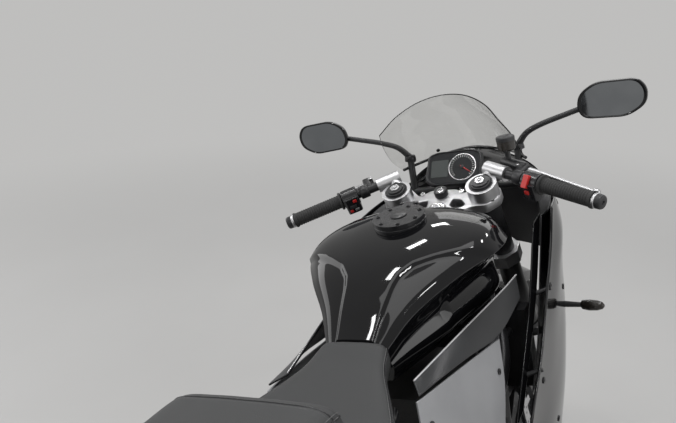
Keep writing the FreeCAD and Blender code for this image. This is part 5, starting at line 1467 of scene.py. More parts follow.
@dataclass
class Tail:
    """The tail cowl, its screws and the plate behind it."""

    stations: Stations = (
        (-175, 112, 752, 779.7), (-270, 142, 742, 775.7), (-318, 144, 741, 775.7), (-352, 146, 740, 779.7),
        (-352.2, 146, 740, 849.7), (-470, 134, 748, 851.7), (-580, 116, 780, 861.7), (-690, 92, 820, 879.7),
        (-716.1, 85, 831, 883), (-716.3, 84, 832, 950), (-800, 66, 872, 962), (-842, 44, 912, 958),
    )
    flank: int = 20
    plate: Corner = (-1030, 0, 606)
    plate_tilt: float = 28.0

    def build(self) -> None:
        """Builds the cowl, its screws and a blank plate."""
        rings = []
        for x, half, bottom, top in self.stations:
            drop = top - bottom
            widths = (half * 0.62, half * 0.9, half, half * 0.96, half * 0.6, 0)
            rings.append(domed(x, widths, (bottom, bottom + drop * 0.25, bottom + drop * 0.7, top, top, top)))
        rings = smooth_rows(rings, 5, 6, (3, 7), (3, 4, 8, 9))
        left = [ring[:self.flank] for ring in rings]
        shell = Blank("tail_shell", PANEL_LACQUER).loft(rings)
        shell.done("chassis", ("tail_cowl",), "gloss_black", bevel=2.0, angle=45)
        turn = Matrix.Rotation(math.radians(self.plate_tilt), 3, "Y")
        up, out = turn @ Z, turn @ -X
        centre = Vector(self.plate) + out * 3.2
        plate = Blank("blank_plate", PALE_PLATE)
        plate.block(centre, Y, up, (88, 62, 0.7), 6)
        plate.done("chassis", bevel=0.3)
        places = [(centre + Y * (side * 60) + up * 48 + out * 0.8, out) for side in (LEFT, RIGHT)]
        screws("plate_screws", "chassis", places, 5, 3, CHROME)
        seats = [seat_on(left, down, 0.62, Y) for down in (0.42, 0.6)]
        screws("tail_screws", "chassis", on_both(seats), 6, 3, BLACK_METAL)


@dataclass
class Nose:
    """The nose cowl with its two lamp openings and the intake between them."""

    rows: Table = (
        ((838, 0, 858), (834, 30, 856), (826, 58, 842), (822, 62, 818), (826, 40, 792)),
        ((800, 0, 902), (796, 55, 894), (784, 112, 868), (776, 120, 822), (786, 85, 768)),
        ((750, 0, 950), (745, 80, 936), (730, 148, 892), (722, 160, 826), (735, 120, 752)),
        ((703, 0, 984), (692, 92, 965), (672, 168, 919), (660, 196, 830), (690, 160, 738)),
    )
    lamp: tuple[Flat, ...] = ((36, 822), (84, 846), (128, 876), (136, 860), (118, 826), (60, 806))
    intake: tuple[Flat, ...] = ((-26, 806), (26, 806), (22, 842), (-22, 842))
    thickness: float = 4.0
    cut_from: float = 640.0
    cut_length: float = 260.0

    def build(self) -> None:
        """Builds the shell and cuts its openings."""
        grid = smooth_rows(mirrored_rows(self.rows), 8, 8)
        outlines = [rounded([(side * y, z) for y, z in self.lamp], 3, 3) for side in (LEFT, RIGHT)]
        outlines.append(rounded(self.intake, 4, 3))
        openings = Blank("nose_openings", PANEL_LACQUER)
        for outline in outlines:
            openings.prism(outline, X * self.cut_from, Y, Z, self.cut_length)
        shell = Blank("nose_shell", PANEL_LACQUER).sheet(grid, self.thickness, X + Z)
        shell.done("chassis", ("nose_cowl",), "gloss_black", angle=50, cutter=openings)


@dataclass
class Bodywork:
    """The fairing panels, the screen and the side panels."""

    panel: float = 4.0
    trim: float = 2.5
    glazing: float = 2.6
    side: Table = (
        ((668, 170, 918), (610, 205, 905), (540, 232, 893), (460, 240, 886)),
        ((656, 198, 830), (590, 226, 822), (500, 243, 812), (384, 243, 815)),
        ((686, 162, 738), (590, 215, 738), (450, 240, 738), (305, 240, 740)),
        ((640, 190, 655), (540, 222, 655), (400, 236, 655), (209, 236, 650)),
        ((590, 200, 575), (490, 224, 575), (330, 232, 573), (126, 226, 572)),
        ((520, 205, 470), (420, 220, 470), (280, 222, 470), (110, 205, 470)),
        ((450, 195, 360), (360, 205, 360), (240, 200, 360), (90, 182, 360)),
    )
    strip: Table = (
        ((468, 210, 872), (330, 214, 742), (150, 204, 574)),
        ((425, 204, 862), (288, 206, 728), (106, 198, 558)),
    )
    ribs: tuple[tuple[Corner, Corner], ...] = (
        ((330, 206, 738), (340, 242, 748)), ((200, 200, 620), (210, 236, 630)))
    liner: Table = (
        ((640, 182, 896), (588, 182, 884), (530, 198, 866), (478, 210, 858)),
        ((640, 197, 790), (570, 184, 772), (490, 196, 750), (404, 205, 740)),
        ((628, 186, 690), (545, 184, 668), (430, 193, 640), (318, 203, 626)),
        ((588, 190, 612), (480, 184, 590), (360, 190, 566), (240, 200, 556)),
    )
    infill: Table = (
        ((690, 0, 930), (684, 60, 925), (668, 116, 914), (652, 156, 904)),
        ((700, 0, 840), (694, 60, 838), (676, 120, 832), (652, 186, 826)),
        ((722, 0, 772), (714, 60, 770), (698, 110, 766), (668, 164, 758)),
        ((735, 0, 715), (728, 60, 713), (708, 105, 712), (676, 152, 710)),
    )
    screen: Table = (
        ((705, 0, 985), (696, 60, 979), (664, 118, 971), (606, 160, 966)),
        ((664, 0, 1040), (652, 62, 1034), (616, 122, 1020), (560, 164, 1000)),
        ((612, 0, 1104), (600, 62, 1098), (564, 120, 1078), (515, 160, 1050)),
        ((558, 0, 1153), (547, 58, 1146), (516, 112, 1122), (482, 148, 1089)),
    )
    cockpit: Table = (
        ((658, 158, 913), (604, 194, 900), (540, 221, 888), (470, 228, 879)),
        ((640, 112, 940), (600, 146, 922), (552, 186, 884), (486, 206, 858)),
    )
    belly: Table = (
        ((340, 0, 152), (360, 112, 180), (410, 165, 262), (449, 194, 356)),
        ((270, 0, 144), (290, 130, 176), (330, 180, 262), (360, 204, 356)),
        ((180, 0, 140), (200, 130, 172), (220, 178, 262), (240, 199, 356)),
        ((40, 0, 140), (45, 122, 170), (60, 162, 262), (90, 181, 356)),
    )
    dark: Table = (
        ((290, 188, 800), (220, 181, 801), (60, 154, 800), (-125, 122, 797)),
        ((270, 196, 758), (142, 186, 744), (-5, 168, 771), (-158, 144, 794)),
    )
    silver: Table = (
        ((138, 184, 735), (-10, 166, 762), (-166, 143, 786)),
        ((110, 190, 660), (-30, 180, 680), (-200, 158, 700)),
        ((70, 190, 585), (-60, 184, 600), (-230, 172, 600)),
    )

    def grid(self, rows: Table, steps: int = 6) -> Rings:
        """A fine grid through a table's corners."""
        return smooth_rows([[Vector(corner) for corner in row] for row in rows], steps, steps)

    def side_panels(self) -> None:
        """Builds both side fairings with the vented double edge behind them."""
        outer = self.grid(self.side)
        for side, word in SIDES:
            blank = Blank(f"side_panel_{word}", PANEL_LACQUER)
            blank.sheet(outer, self.panel, Y)
            blank.sheet(self.grid(self.strip), self.panel, Y)
            lip = [row[-1] + Vector((-1, -1, 0)) for row in outer[:-4]]
            blank.tube(lip, 3.2, 1, 10)
            blank.use(BLACK_PLASTIC)
            for start, end in self.ribs:
                blank.tube([Vector(start), Vector(end)], 5, 1, 12)
            if side < 0:
                blank.points = [flipped(point) for point in blank.points]
                blank.faces = [face[::-1] for face in blank.faces]
            blank.done("chassis", (f"side_fairing_{word}",), "gloss_black", bevel=1.0, angle=50)

    def mirrored(self, name: str, finish: Finish, rows: Table, outward: Vector, node: str,
                 slot: str) -> None:
        """Builds a panel and its twin on the other side."""
        blank = Blank(name, finish).sheet(self.grid(rows), self.panel, outward)
        blank.both_sides().done("chassis", (node,), slot, bevel=1.0, angle=50)

    def middle(self, name: str, finish: Finish, rows: Table, outward: Vector, thickness: float,
               steps: int = 6) -> Blank:
        """A panel that crosses the middle line."""
        grid = smooth_rows(mirrored_rows(rows), steps, steps)
        return Blank(name, finish).sheet(grid, thickness, outward)

    def build(self) -> None:
        """Builds every panel."""
        self.side_panels()
        self.mirrored("cockpit_trim", BLACK_PLASTIC, self.cockpit, Z, "cockpit_panels", "black_plastic")
        self.mirrored("dark_side_cover", DARK_PANEL_PAINT, self.dark, Y, "dark_side_panels", "dark_panel")
        self.mirrored("silver_side_cover", SILVER_PAINT, self.silver, Y, "silver_side_panels", "silver_panel")
        # Painted highlight: a bright silver tube along the top edge of the dark covers, where that edge
        # catches the light.
        edge = Blank("side_cover_edge", CAST_SILVER)
        edge.tube([Vector(corner) + Vector((0, 0.5, 0.5)) for corner in self.dark[0]], 1.7, 6, 8)
        edge.both_sides().done("chassis")
        belly = self.middle("belly_shell", PANEL_LACQUER, self.belly, -Z, self.panel)
        belly.done("chassis", ("belly_pan",), "gloss_black", bevel=1.0, angle=50)
        bubble = self.middle("screen_bubble", SCREEN, self.screen, X + Z, self.glazing, 8)
        bubble.done("chassis", ("windscreen",), "clear_screen", angle=60)
        rim = Blank("screen_band", SMOOTH_PLASTIC)
        base = smooth_rows(mirrored_rows(self.screen), 8, 8)[0]
        rim.tube([point + Vector((1.5, 0, 1)) for point in base], 4.2, 1, 10)
        rim.done("chassis")
        liner = Blank("fairing_liner", BLACK_PLASTIC).sheet(self.grid(self.liner), self.trim, Y)
        liner.both_sides().done("chassis", angle=50)
        self.middle("nose_infill", BLACK_PLASTIC, self.infill, -X, self.trim).done("chassis", angle=50)
        self.fasteners()

    def fasteners(self) -> None:
        """Builds the screws, each seated on its panel."""
        bubble = self.grid(self.screen)
        seats = [seat_on(bubble, 0.12, along, X + Z) for along in (0.42, 0.78)]
        screws("screen_screws", "chassis", on_both(seats), 5, 3, BLACK_METAL)
        side = self.grid(self.side)
        spots = ((0.1, 0.3), (0.3, 0.92), (0.45, 0.5), (0.62, 0.9), (0.7, 0.12), (0.88, 0.5), (0.9, 0.9))
        seats = [seat_on(side, down, along, Y) for down, along in spots]
        screws("fairing_screws", "chassis", on_both(seats), 6.5, 3, BLACK_METAL)
        cover = self.grid(self.silver)
        seats = [seat_on(cover, down, along, Y) for down, along in ((0.3, 0.12), (0.28, 0.88), (0.86, 0.5))]
        screws("side_cover_screws", "chassis", on_both(seats), 6, 3, BLACK_METAL)


@dataclass
class Cockpit:
    """Top yoke, caps, nut, ignition ring and the instrument."""

    yoke_place: float = 672.0
    yoke_height: float = 24.0
    half_front: tuple[Flat, ...] = ((140, -14), (140, 14), (115, 37), (83, 37), (56, 8), (30, 26))
    half_back: tuple[Flat, ...] = ((32, -71.8), (81, -39), (115, -38))
    window: tuple[Flat, ...] = ((30, -8), (52, -12), (66, -32), (44, -44), (27, -28))
    leg_bore: float = 27.1
    stem_bore: float = 9.2
    screw_seats: tuple[Flat, ...] = ((125, -22), (-125, -22), (48, 14), (-48, 14))
    leg_top: float = 728.0
    cap: Turned = (
        (BLACK_METAL, 40, ((0, 24), (2.5, 24), (4, 22.5), (4, 14), (0, 13))),
        (MACHINED, 6, ((6.8, 12), (9, 12), (10, 11), (10, 7), (8, 6), (8, 0))),
        (CHROME, 24, ((8, 4.5), (12, 4.5), (13, 3.6), (13, 0))),
    )
    nut: Turned = (
        (CHROME, 48, ((0, 24), (1.8, 24), (2.6, 22), (2.6, 19), (0, 18))),
        (CHROME, 6, ((2, 18), (9, 18), (10.5, 16), (10.5, 9), (7, 8), (7, 0))),
    )
    lock: Turned = (
        (BLACK_METAL, 40, ((0, 16), (12, 16), (15, 14.5), (15, 10), (12.5, 9), (12.5, 0))),
        (CHROME, 32, ((12.6, 8.5), (14.2, 8.5), (14.6, 7.8), (14.6, 0))),
    )
    lock_ahead: float = 55.0
    face_centre: Corner = (556, 0, 968)
    face_tilt: float = 36.87
    face: tuple[Flat, ...] = (
        (-75, -30), (-52, -46), (52, -46), (75, -30), (70, 38), (46, 46), (-46, 46), (-70, 38))
    case: tuple[Flat, ...] = (
        (-13.5, 0.86), (-10, 0.95), (4, 1.0), (11, 0.97), (13.5, 0.92), (11.5, 0.88), (10.5, 0.87))
    glass: tuple[Flat, ...] = ((9.6, 0.868), (11.2, 0.868))
    scale_ring: tuple[Flat, ...] = ((0, 35), (1.2, 35), (1.8, 34), (1.8, 32.5), (0, 32))
    needle_angle: float = 215.0
    ticks: int = 25

    def outline(self) -> list[Flat]:
        """The yoke seen from above: out to the left, and ahead."""
        front, back = list(self.half_front), list(self.half_back)
        return front + [(-a, b) for a, b in front[::-1]] + [(-a, b) for a, b in back[::-1]] + back

    def hole(self, out: float, ahead: float, radius: float) -> list[Flat]:
        """A round hole's outline."""
        angles = [2 * math.pi * k / 40 for k in range(40)]
        return [(out + radius * math.cos(t), ahead + radius * math.sin(t)) for t in angles]

    def yoke(self) -> None:
        """Builds the cast top yoke with its bores and lightening windows."""
        holes = [self.hole(side * HALF_TRACK, 0, self.leg_bore) for side in (LEFT, RIGHT)]
        holes.append(self.hole(0, -STEM_BEHIND, self.stem_bore))
        holes += [rounded([(side * a, b) for a, b in self.window], 5) for side in (LEFT, RIGHT)]
        origin = FRONT_AXLE + UP_FORK * (self.yoke_place + self.yoke_height / 2)
        plate = Blank("top_yoke_casting", CAST_SILVER)
        plate.plate([rounded(self.outline(), 9)] + holes, origin, -Y, AHEAD_FORK, self.yoke_height, 2.2)
        plate.done("steering", ("top_yoke",), "cast_silver", angle=40)
        top = UP_FORK * (self.yoke_place + self.yoke_height)
        places = [(FRONT_AXLE + top + Y * a + AHEAD_FORK * b, UP_FORK) for a, b in self.screw_seats]
        screws("yoke_screws", "steering", places, 5.5, 4, MACHINED)

    def caps(self) -> None:
        """Builds the fork caps, the stem nut and the ignition lock."""
        fittings = Blank("fork_caps", BLACK_METAL)
        for side in (LEFT, RIGHT):
            fittings.turn(self.cap, on_leg(side, self.leg_top), UP_FORK)
        fittings.done("steering", bevel=0.4)
        top = on_stem(self.yoke_place + self.yoke_height)
        lock = top + AHEAD_FORK * self.lock_ahead
        nut = Blank("stem_nut", CHROME).turn(self.nut, top, UP_FORK).turn(self.lock, lock, UP_FORK)
        nut.use(BLACK_METAL).block(lock + UP_FORK * 14.9, Y, AHEAD_FORK, (4.5, 0.8, 0.3), 0.4)
        nut.done("steering", ("stem_nut_and_lock",), "chrome", bevel=0.4)

    def instrument(self) -> None:
        """Builds the instrument: housing, glass, round scale, needle and display."""
        turn = Matrix.Rotation(math.radians(self.face_tilt), 3, "Y")
        face, up = turn @ -X, turn @ Z
        centre = Vector(self.face_centre)
        shape = rounded(self.face, 10)
        case, glass = [[[centre + face * depth + Y * (a * grow) + up * (b * grow) for a, b in shape]
                        for depth, grow in depths] for depths in (self.case, self.glass)]
        body = Blank("instrument_housing", BLACK_PLASTIC).loft(case)
        body.use(DIAL_GLASS).loft(glass)
        dial = centre + Y * -22 + face * 11.4
        body.lathe([(0, 33), (0.5, 33), (0.5, 0)], dial, face, 56)
        body.use(MACHINED).lathe(self.scale_ring, dial, face, 56, closed=True)
        body.use(LCD).block(centre + Y * 36 + face * 11.6, Y, up, (22, 22, 0.5), 3)
        angle = math.radians(self.needle_angle)
        way = Y * math.cos(angle) + up * math.sin(angle)
        pivot = dial + face * 1.6
        body.use(RED_BUTTON).tube([pivot - way * 5, pivot + way * 27], [1.6, 0.5], 2, 8)
        body.use(BLACK_METAL).lathe([(0, 4.5), (2.6, 4.5), (3.2, 3.4), (3.2, 0)], dial, face, 24)
        body.done("chassis", ("instrument",), "black_plastic", bevel=0.5, angle=35)
        ticks = []
        for k in range(self.ticks):
            t = math.radians(225 - 270 * k / (self.ticks - 1))
            out = Y * -math.cos(t) + up * math.sin(t)
            ticks.append((dial + face * 0.8 + out * 28.0, out))
        marks("dial_ticks", "chassis", ticks, 1.0, 5.0, WHITE_MARK)

    def build(self) -> None:
        """Builds the cockpit."""
        self.yoke()
        self.caps()
        self.instrument()


@dataclass
class Controls:
    """Handlebars, grips, switches, levers and the brake fluid pot."""

    bar_end: Corner = (334, 368, 929)
    grip_length: float = 146.0
    grip_ribs: int = 19
    switch_place: float = 188.0
    perch_width: float = 28.0
    collar: tuple[Flat, ...] = ((-20, 12), (-20, 15.2), (-18.5, 16), (-14, 16), (-13, 15))
    weight: tuple[Flat, ...] = (
        (-13, 14.6), (-12, 15.4), (-4, 15), (-1, 13.5), (0, 11.5), (0, 4), (-3, 3), (-3, 0))
    drum: tuple[Flat, ...] = ((0, 11.2), (0, 20), (2, 22), (38, 22), (40, 20), (40, 11.2))
    left_buttons: tuple[Button, ...] = (
        (RED_BUTTON, -8, 11, (4.5, 3.6, 2.4), 2), (BLACK_PLASTIC, 0, -3, (8, 4, 3), 2),
        (CAST_SILVER, -6, -14, (5, 3, 2.2), 1.5), (RED_BUTTON, 8, -14, (4, 3.4, 2.2), 2),
    )
    right_buttons: tuple[Button, ...] = (
        (RED_BUTTON, 0, -1, (5.5, 4.5, 3), 2), (BLACK_PLASTIC, 0, -10, (6, 5, 2.6), 2))
    clamp: tuple[Flat, ...] = ((0, 11.1), (0, 15), (1.5, 16), (20.5, 16), (22, 15), (22, 11.1))
    blade: tuple[Corner, ...] = ((32, 4, -2), (44, 42, -10), (46, 120, -17), (41, 190, -17))
    ball: tuple[Flat, ...] = ((-8.2, 1), (-7, 5), (-3.5, 7.8), (0, 8.4), (3.5, 7.8), (7, 5), (8.2, 1))
    pin: tuple[Flat, ...] = ((-10, 5), (10, 5), (11, 4), (11, 0))
    cylinder: tuple[Flat, ...] = ((-44, 0), (-44, 10), (-41, 12), (20, 12), (22, 10), (22, 0))
    pot: Turned = (
        (BLACK_METAL, 20, ((6, 6.5), (34, 6.5))),
        (DARK_LENS, 36, ((30, 0), (30, 17), (33, 19.5), (53, 20))),
        (BLACK_PLASTIC, 36, ((52, 20.5), (60, 20.5), (62, 18.5), (62, 0))),
    )

    def line(self, side: float) -> tuple[Vector, Vector, Vector]:
        """The line of one bar.

        Args:
            side: LEFT or RIGHT.

        Returns:
            Its inner end, its outer end and the direction outwards.
        """
        inner = on_leg(side, 711) + AHEAD_FORK * 46 + UP_FORK * 16 + Y * (side * 15)
        outer = Vector((self.bar_end[0], side * self.bar_end[1], self.bar_end[2]))
        return inner, outer, (outer - inner).normalized()

    def grip(self) -> list[Flat]:
        """A ribbed grip's closed profile.

        Returns:
            Its corners, as distances along the bar and from it.
        """
        profile = [(0, 11.1), (0, 21), (2.5, 22), (5, 21), (6, 16.2)]
        for k in range(self.grip_ribs):
            at = 10 + k * 5.8
            profile += [(at, 16.6), (at + 1.4, 15.6), (at + 2.4, 15.6), (at + 3.6, 16.6)]
        return profile + [(119, 16.6), (122, 18.2), (125.2, 18.2), (125.6, 16), (125.6, 11.1)]

    def bars(self) -> None:
        """Builds the bar tubes with their end weights, and the ribbed grips."""
        bars = Blank("bar_tubes", BLACK_METAL)
        grips = Blank("ribbed_grips", GRIP_RUBBER)
        for side in (LEFT, RIGHT):
            inner, outer, out = self.line(side)
            bars.use(BLACK_METAL).lathe([(0, 11), ((outer - inner).length - 20, 11)], inner, out, 28)
            bars.use(CAST_SILVER).lathe(self.collar, outer, out, 36)
            bars.use(BLACK_METAL).lathe(self.weight, outer, out, 36)
            grips.lathe(self.grip(), outer - out * self.grip_length, out, 40, closed=True)
        bars.done("steering", ("handlebars",), "black_metal", bevel=0.3)
        grips.done("steering", ("grips",), "grip_rubber", angle=30)

    def switches(self) -> None:
        """Builds both switch housings with their buttons."""
        gear = Blank("switch_housings", SMOOTH_PLASTIC)
        for side in (LEFT, RIGHT):
            _, outer, out = self.line(side)
            drum = outer - out * self.switch_place
            back = -AHEAD_FORK
            back = (back - out * back.dot(out)).normalized()
            up = out.cross(back) * side
            up = up if up.z > 0 else -up
            gear.use(SMOOTH_PLASTIC).lathe(self.drum, drum, out, 36, closed=True)
            gear.block(drum + out * 20 + back * 8 - up * 10, out, back, (18, 17, 21), 6)
            gear.use(BLACK_METAL).lathe([(18.8, 22.4), (20.6, 22.4)], drum, out, 36)
            panel = drum + out * 20 + back * 25.2 - up * 8
            if side < 0:
                rocker = drum + out * 18 + back * 18 + up * 15
                gear.use(RED_BUTTON).block(rocker, out, (up - back).normalized(), (6.5, 14, 5), 2.5)
            buttons = self.left_buttons if side > 0 else self.right_buttons
            for finish, along, rise, half, corner in buttons:
                gear.use(finish).block(panel + up * rise + out * along, out, up, half, corner)
        gear.done("steering", ("switchgear",), "black_plastic", bevel=0.7)

    def levers(self) -> None:
        """Builds both levers on their perches, and the brake cylinder with its pot."""
        made = Blank("lever_set", BLACK_METAL)
        for side in (LEFT, RIGHT):
            _, outer, out = self.line(side)
            perch = outer - out * self.switch_place - out * self.perch_width
            made.use(BLACK_METAL).lathe(self.clamp, perch, out, 32, closed=True)
            made.block(perch + out * 11 + AHEAD_FORK * 26, out, AHEAD_FORK.cross(out), (10, 8, 16), 4)
            route = [perch + AHEAD_FORK * a + out * w + UP_FORK * u for a, w, u in self.blade]
            made.use(CAST_SILVER).tube(route, [6.5, 6.2, 5.2, 4.6], 8, 14)
            made.lathe(self.ball, route[-1] + out * 3, out, 24)
            made.use(MACHINED).lathe(self.pin, perch + AHEAD_FORK * 34 + out * 4, UP_FORK, 20)
            if side < 0:
                middle = perch + AHEAD_FORK * 38
                made.use(BLACK_METAL).lathe(self.cylinder, middle, out, 28)
                made.turn(self.pot, middle - out * 26, Z)
        made.done("steering", ("hand_levers",), "cast_silver", bevel=0.4)

    def build(self) -> None:
        """Builds the controls."""
        self.bars()
        self.switches()
        self.levers()


@dataclass
class Mirrors:
    """The two mirrors on long arms."""

    base: Corner = (623, 142, 990)
    centre: Corner = (601, 368, 1083)
    outline: tuple[Flat, ...] = (
        (-76, -14), (-62, -38), (30, -44), (70, -22), (76, 12), (58, 38), (-30, 42), (-68, 20))
    shell: tuple[Flat, ...] = (
        (-9.5, 0.88), (-11.5, 0.93), (-11, 0.985), (-6, 1.0), (4, 0.95), (13, 0.78), (19, 0.55), (21.5, 0.3))
    glass: tuple[Flat, ...] = ((-9.0, 0.89), (-10.2, 0.89))

    def build(self) -> None:
        """Builds both mirrors: shell, glass and arm."""
        shape = rounded(self.outline, 19, 6)
        base = Vector(self.base) + Z * 3
        centre = Vector(self.centre)
        shell, glass = [[[centre + Vector((depth, a * grow, b * grow)) for a, b in shape]
                         for depth, grow in depths] for depths in (self.shell, self.glass)]
        pair = Blank("mirror_pair", PANEL_LACQUER).loft(shell)
        pair.use(MIRROR_GLASS).loft(glass)
        pair.use(BLACK_PLASTIC).lathe([(0, 14), (5, 14), (7, 12.5), (7, 0)], base, Z, 32)
        route = [base + Z * 3, base + Vector((-4, 30, 34)), centre + Vector((12, -90, -22)),
                 centre + Vector((10, -20, -6))]
        pair.tube(route, [8.5, 7, 6.5, 7], 10, 16)
        pair.both_sides().done("chassis", ("mirrors",), "gloss_black", angle=45)


@dataclass
class Lamps:
    """Indicators and what shows behind the headlamp lenses."""

    stalks: tuple[tuple[Corner, Corner], ...] = (
        ((516, 221, 626), (503, 312, 628)), ((-925, 24, 700), (-930, 118, 704)))
    pod: tuple[Corner, ...] = (
        (40, 5, 4), (44, 11, 8), (60, 13, 12), (78, 12, 11), (90, 8, 7), (94, 3, 3))
    bowls: tuple[Corner, ...] = ((754, 72, 838), (728, 104, 850))
    bowl: tuple[Flat, ...] = ((0, 2), (3, 9), (10, 15), (18, 17), (19, 16), (10, 13.6), (4, 7), (2, 0))

    def indicator(self, blank: Blank, root: Vector, tip: Vector) -> None:
        """Adds one slim indicator on its stalk.

        Args:
            blank: The piece that it belongs to.
            root: Where its stalk starts.
            tip: A point that it points at.
        """
        out = (tip - root).normalized()
        ahead = out.cross(Z).normalized()
        up = ahead.cross(out)
        blank.use(BLACK_PLASTIC).tube([root, root + out * 44], [7.5, 5.5], 3, 14)
        rings = []
        for along, high, deep in self.pod:
            angles = [2 * math.pi * k / 24 for k in range(24)]
            rings.append([root + out * along + ahead * (deep * math.cos(t)) + up * (high * math.sin(t))
                          for t in angles])
        blank.use(DARK_LENS).loft(rings)

    def build(self) -> None:
        """Builds four indicators and two pairs of reflector bowls."""
        blank = Blank("indicator_set", BLACK_PLASTIC)
        for side in (LEFT, RIGHT):
            for stalk in self.stalks:
                root, tip = [Vector((x, side * y, z)) for x, y, z in stalk]
                self.indicator(blank, root, tip)
        blank.done("chassis", ("indicators",), "amber_lens", angle=45)
        bowls = Blank("lamp_bowls", CHROME)
        for x, y, z in self.bowls:
            for side in (LEFT, RIGHT):
                bowls.lathe(self.bowl, Vector((x, side * y, z)), X, 28)
        bowls.done("chassis")


@dataclass
class Running:
    """Small parts on the wheels, engine and radiator."""

    caliper_screws: tuple[float, ...] = (62, 106, 150)
    fin: tuple[Corner, Corner] = ((-0.35, -154, -1.2), (0.35, 154, 1.2))
    fin_line: tuple[Corner, Corner] = ((385.2, 0, 503), (385.2, 0, 693))
    fins: int = 64
    valve: tuple[Flat, ...] = ((0, 4), (16, 3.2), (24, 3.2), (25, 2.4), (25, 0))
    valve_seat: Corner = (0, 18, 199)

    def build(self) -> None:
        """Builds the screws of discs, covers and calipers, the fins and the valve caps."""
        for side, word in SIDES:
            face = FRONT_AXLE + Y * (side * 68.5)
            screws(f"front_disc_screws_{word}", "front_wheel", ring_of(face, Y * side, 50, 6), 5, 4, MACHINED)
        screws("rear_disc_screws", "rear_wheel", ring_of(REAR_AXLE - Y * 102.5, -Y, 50, 6), 5, 4, MACHINED)
        screws("sprocket_nuts", "rear_wheel", ring_of(REAR_AXLE + Y * 108.5, Y, 44, 6), 5.5, 4, MACHINED)
        covers = ring_of(Vector((20, -158, 350)), -Y, 66, 9) + ring_of(Vector((76, 156, 345)), Y, 57, 8)
        screws("cover_screws", "chassis", covers, 4.6, 4, MACHINED)
        places = [(FRONT_AXLE + AHEAD_FORK * -74 + UP_FORK * up + Y * (side * 88), Y * side)
                  for side in (LEFT, RIGHT) for up in self.caliper_screws]
        screws("caliper_screws", "steering", places, 6.5, 4, MACHINED)
        fin = small_shape("fin", box_corners(*self.fin), BOX_FACES)
        line = curve_data("fin_line", [Vector(end) for end in self.fin_line], False)
        along_curve("radiator_fins", line, fin, self.fins, "chassis", MACHINED)
        for word, axle in (("front", FRONT_AXLE), ("rear", REAR_AXLE)):
            valve = Blank(f"{word}_valve", BLACK_METAL)
            valve.lathe(self.valve, axle + Vector(self.valve_seat), Vector((0, 0.35, -1)), 16)
            valve.done(f"{word}_wheel")


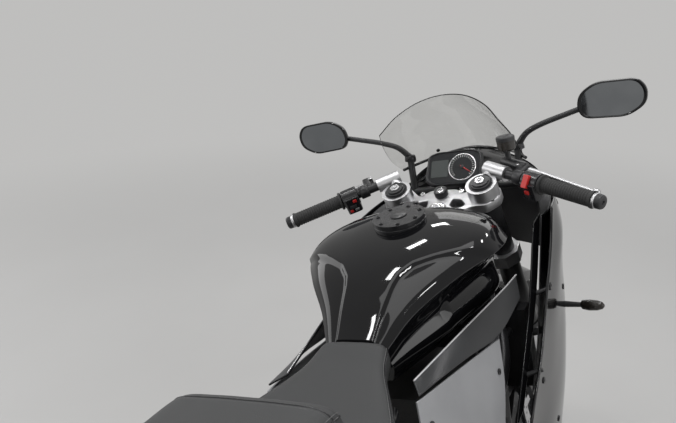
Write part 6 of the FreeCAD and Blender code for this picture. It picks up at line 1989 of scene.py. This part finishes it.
@dataclass
class Studio:
    """A pale floor, soft lamps and the camera where the photograph was taken."""

    focal: float = 700.0
    photo_width: float = 676.0
    sensor: float = 36.0
    eye: Corner = (-1025.317, -284.441, 1468.272)
    yaw: float = 0.478088
    dip: float = 0.365388
    roll: float = -0.0252664
    floor_reach: float = 60.0
    backdrop: tuple[float, float, float, float] = (0.52, 0.517, 0.51, 1.0)
    floor_dark: tuple[float, float, float, float] = (0.47, 0.463, 0.452, 1.0)
    floor_light: tuple[float, float, float, float] = (0.53, 0.522, 0.51, 1.0)
    room_shade: tuple[float, float, float, float] = (0.8, 0.82, 0.85, 1.0)
    room_strength: float = 0.42
    panels: tuple[tuple[str, Corner, Corner, Flat, float], ...] = (
        ("ceiling_panel", (0.3, 0.2, 3.4), (0.1, 0, 0.6), (2.6, 1.6), 27),
        ("left_panel", (-0.2, 3.6, 1.8), (0, 0, 0.7), (4.4, 1.4), 40),
        ("right_panel", (-0.2, -3.6, 1.75), (0, 0, 0.7), (4.4, 1.4), 42),
        ("rear_panel", (-4.0, 0, 2.2), (0, 0, 0.7), (2.6, 1.2), 12),
        ("front_panel", (4.0, 0.4, 2.4), (0.3, 0, 0.8), (2.4, 1.0), 12),
    )
    spot_rows: tuple[float, ...] = (-0.9, 1.3)
    spot_columns: tuple[float, ...] = (-0.7, 0.5, 1.7, 2.9)

    def shown(self, wiring: Wiring) -> NodeSocket:
        """Finds the rays that show the backdrop: to the camera, mirrored or through glass.

        Args:
            wiring: The tree that asks.

        Returns:
            A socket that is 1 for those rays.
        """
        rays = wiring.node("ShaderNodeLightPath")
        seen = wiring.math("MAXIMUM", rays.outputs["Is Camera Ray"], rays.outputs["Is Glossy Ray"])
        return wiring.math("MAXIMUM", seen, rays.outputs["Is Transmission Ray"])

    def camera(self) -> None:
        """Sets the camera."""
        ahead = Vector((math.cos(self.yaw) * math.cos(self.dip), math.sin(self.yaw) * math.cos(self.dip),
                        -math.sin(self.dip)))
        right = ahead.cross(Z).normalized()
        up = right.cross(ahead)
        across = right * math.cos(self.roll) + up * math.sin(self.roll)
        upward = right * -math.sin(self.roll) + up * math.cos(self.roll)
        shift = PLACE.to_translation()
        at = Vector(self.eye) * 0.001 + Vector((shift.x, shift.y, 0))
        data = bpy.data.cameras.new("camera")
        data.sensor_fit = "HORIZONTAL"
        data.sensor_width = self.sensor
        data.lens = self.focal * self.sensor / self.photo_width
        camera = add_object("camera", data)
        turn = Matrix((across, upward, -ahead)).transposed().to_4x4()
        camera.matrix_world = Matrix.Translation(at) @ turn
        bpy.context.scene.camera = camera

    def floor(self) -> None:
        """Lays the pale floor."""
        mesh = bpy.data.meshes.new("floor")
        reach = self.floor_reach
        corners = [(-reach, -reach, 0), (reach, -reach, 0), (reach, reach, 0), (-reach, reach, 0)]
        mesh.from_pydata(corners, [], [(0, 1, 2, 3)])
        floor = add_object("floor", mesh)
        material = bpy.data.materials.new("pale_floor")
        material.use_nodes = True
        wiring = Wiring(material.node_tree)
        shader = material.node_tree.nodes["Principled BSDF"]
        place = wiring.node("ShaderNodeTexCoord").outputs["Object"]
        colour = wiring.mixed(wiring.noise(place, 1.4, 5.0), self.floor_dark, self.floor_light)
        wiring.feed(shader, {"Base Color": colour, "Roughness": 0.5})
        distance = wiring.node("ShaderNodeVectorMath", {0: place}, operation="LENGTH")
        far = wiring.math("MULTIPLY", wiring.spread(distance.outputs["Value"], 1.4, 4.6), self.shown(wiring))
        glow = wiring.node("ShaderNodeEmission", {"Color": self.backdrop})
        surface = material.node_tree.nodes["Material Output"].inputs["Surface"]
        wiring.join(wiring.blended(far, shader, glow), surface)
        mesh.materials.append(material)

    def lamp(self, name: str, place: Corner, aim: Corner, size: Flat, power: float) -> None:
        """Hangs one soft lamp.

        Args:
            name: Its name.
            place: Where it hangs, in metres.
            aim: The point that it shines at.
            size: Its width and height.
            power: Its power in watts.
        """
        data = bpy.data.lights.new(name, "AREA")
        data.shape = "RECTANGLE"
        data.size, data.size_y = size
        data.energy = power
        lamp = add_object(name, data)
        lamp.location = place
        lamp.rotation_euler = (Vector(aim) - Vector(place)).to_track_quat("-Z", "Y").to_euler()

    def light(self) -> None:
        """Lights the room plainly and keeps its backdrop pale."""
        for panel in self.panels:
            self.lamp(*panel)
        for row, y in enumerate(self.spot_rows):
            for number, x in enumerate(self.spot_columns):
                self.lamp(f"spot_{row}_{number}", (x, y, 2.9), (x * 0.3, 0, 0.6), (0.36, 0.12), 5)
        world = bpy.data.worlds.new("room")
        bpy.context.scene.world = world
        world.use_nodes = True
        wiring = Wiring(world.node_tree)
        shade = world.node_tree.nodes["Background"]
        wiring.feed(shade, {"Color": self.room_shade, "Strength": self.room_strength})
        seen = wiring.node("ShaderNodeBackground", {"Color": self.backdrop})
        surface = world.node_tree.nodes["World Output"].inputs["Surface"]
        wiring.join(wiring.blended(self.shown(wiring), shade, seen), surface)

    def build(self) -> None:
        """Sets up the studio."""
        bpy.context.scene.view_settings.view_transform = "Standard"
        self.camera()
        self.floor()
        self.light()


def main() -> None:
    """Builds the bike's looks in order."""
    logging.basicConfig(level=logging.INFO, format="%(name)s: %(message)s")
    Studio().build()
    CarriedOver().dress()
    Tyre("front_tyre_cover", "front_wheel", FRONT_AXLE, 300, 120, 62, 89).build()
    Tyre("rear_tyre_cover", "rear_wheel", REAR_AXLE, 315, 180, 96, 140).build()
    for assembly in (DriveChain(), FuelTank(), Pads(), Tail(), Nose(), Bodywork(), Cockpit(), Controls(),
                     Mirrors(), Lamps(), Running()):
        LOG.info("building %s", type(assembly).__name__)
        assembly.build()


if __name__ == "__main__":
    main()
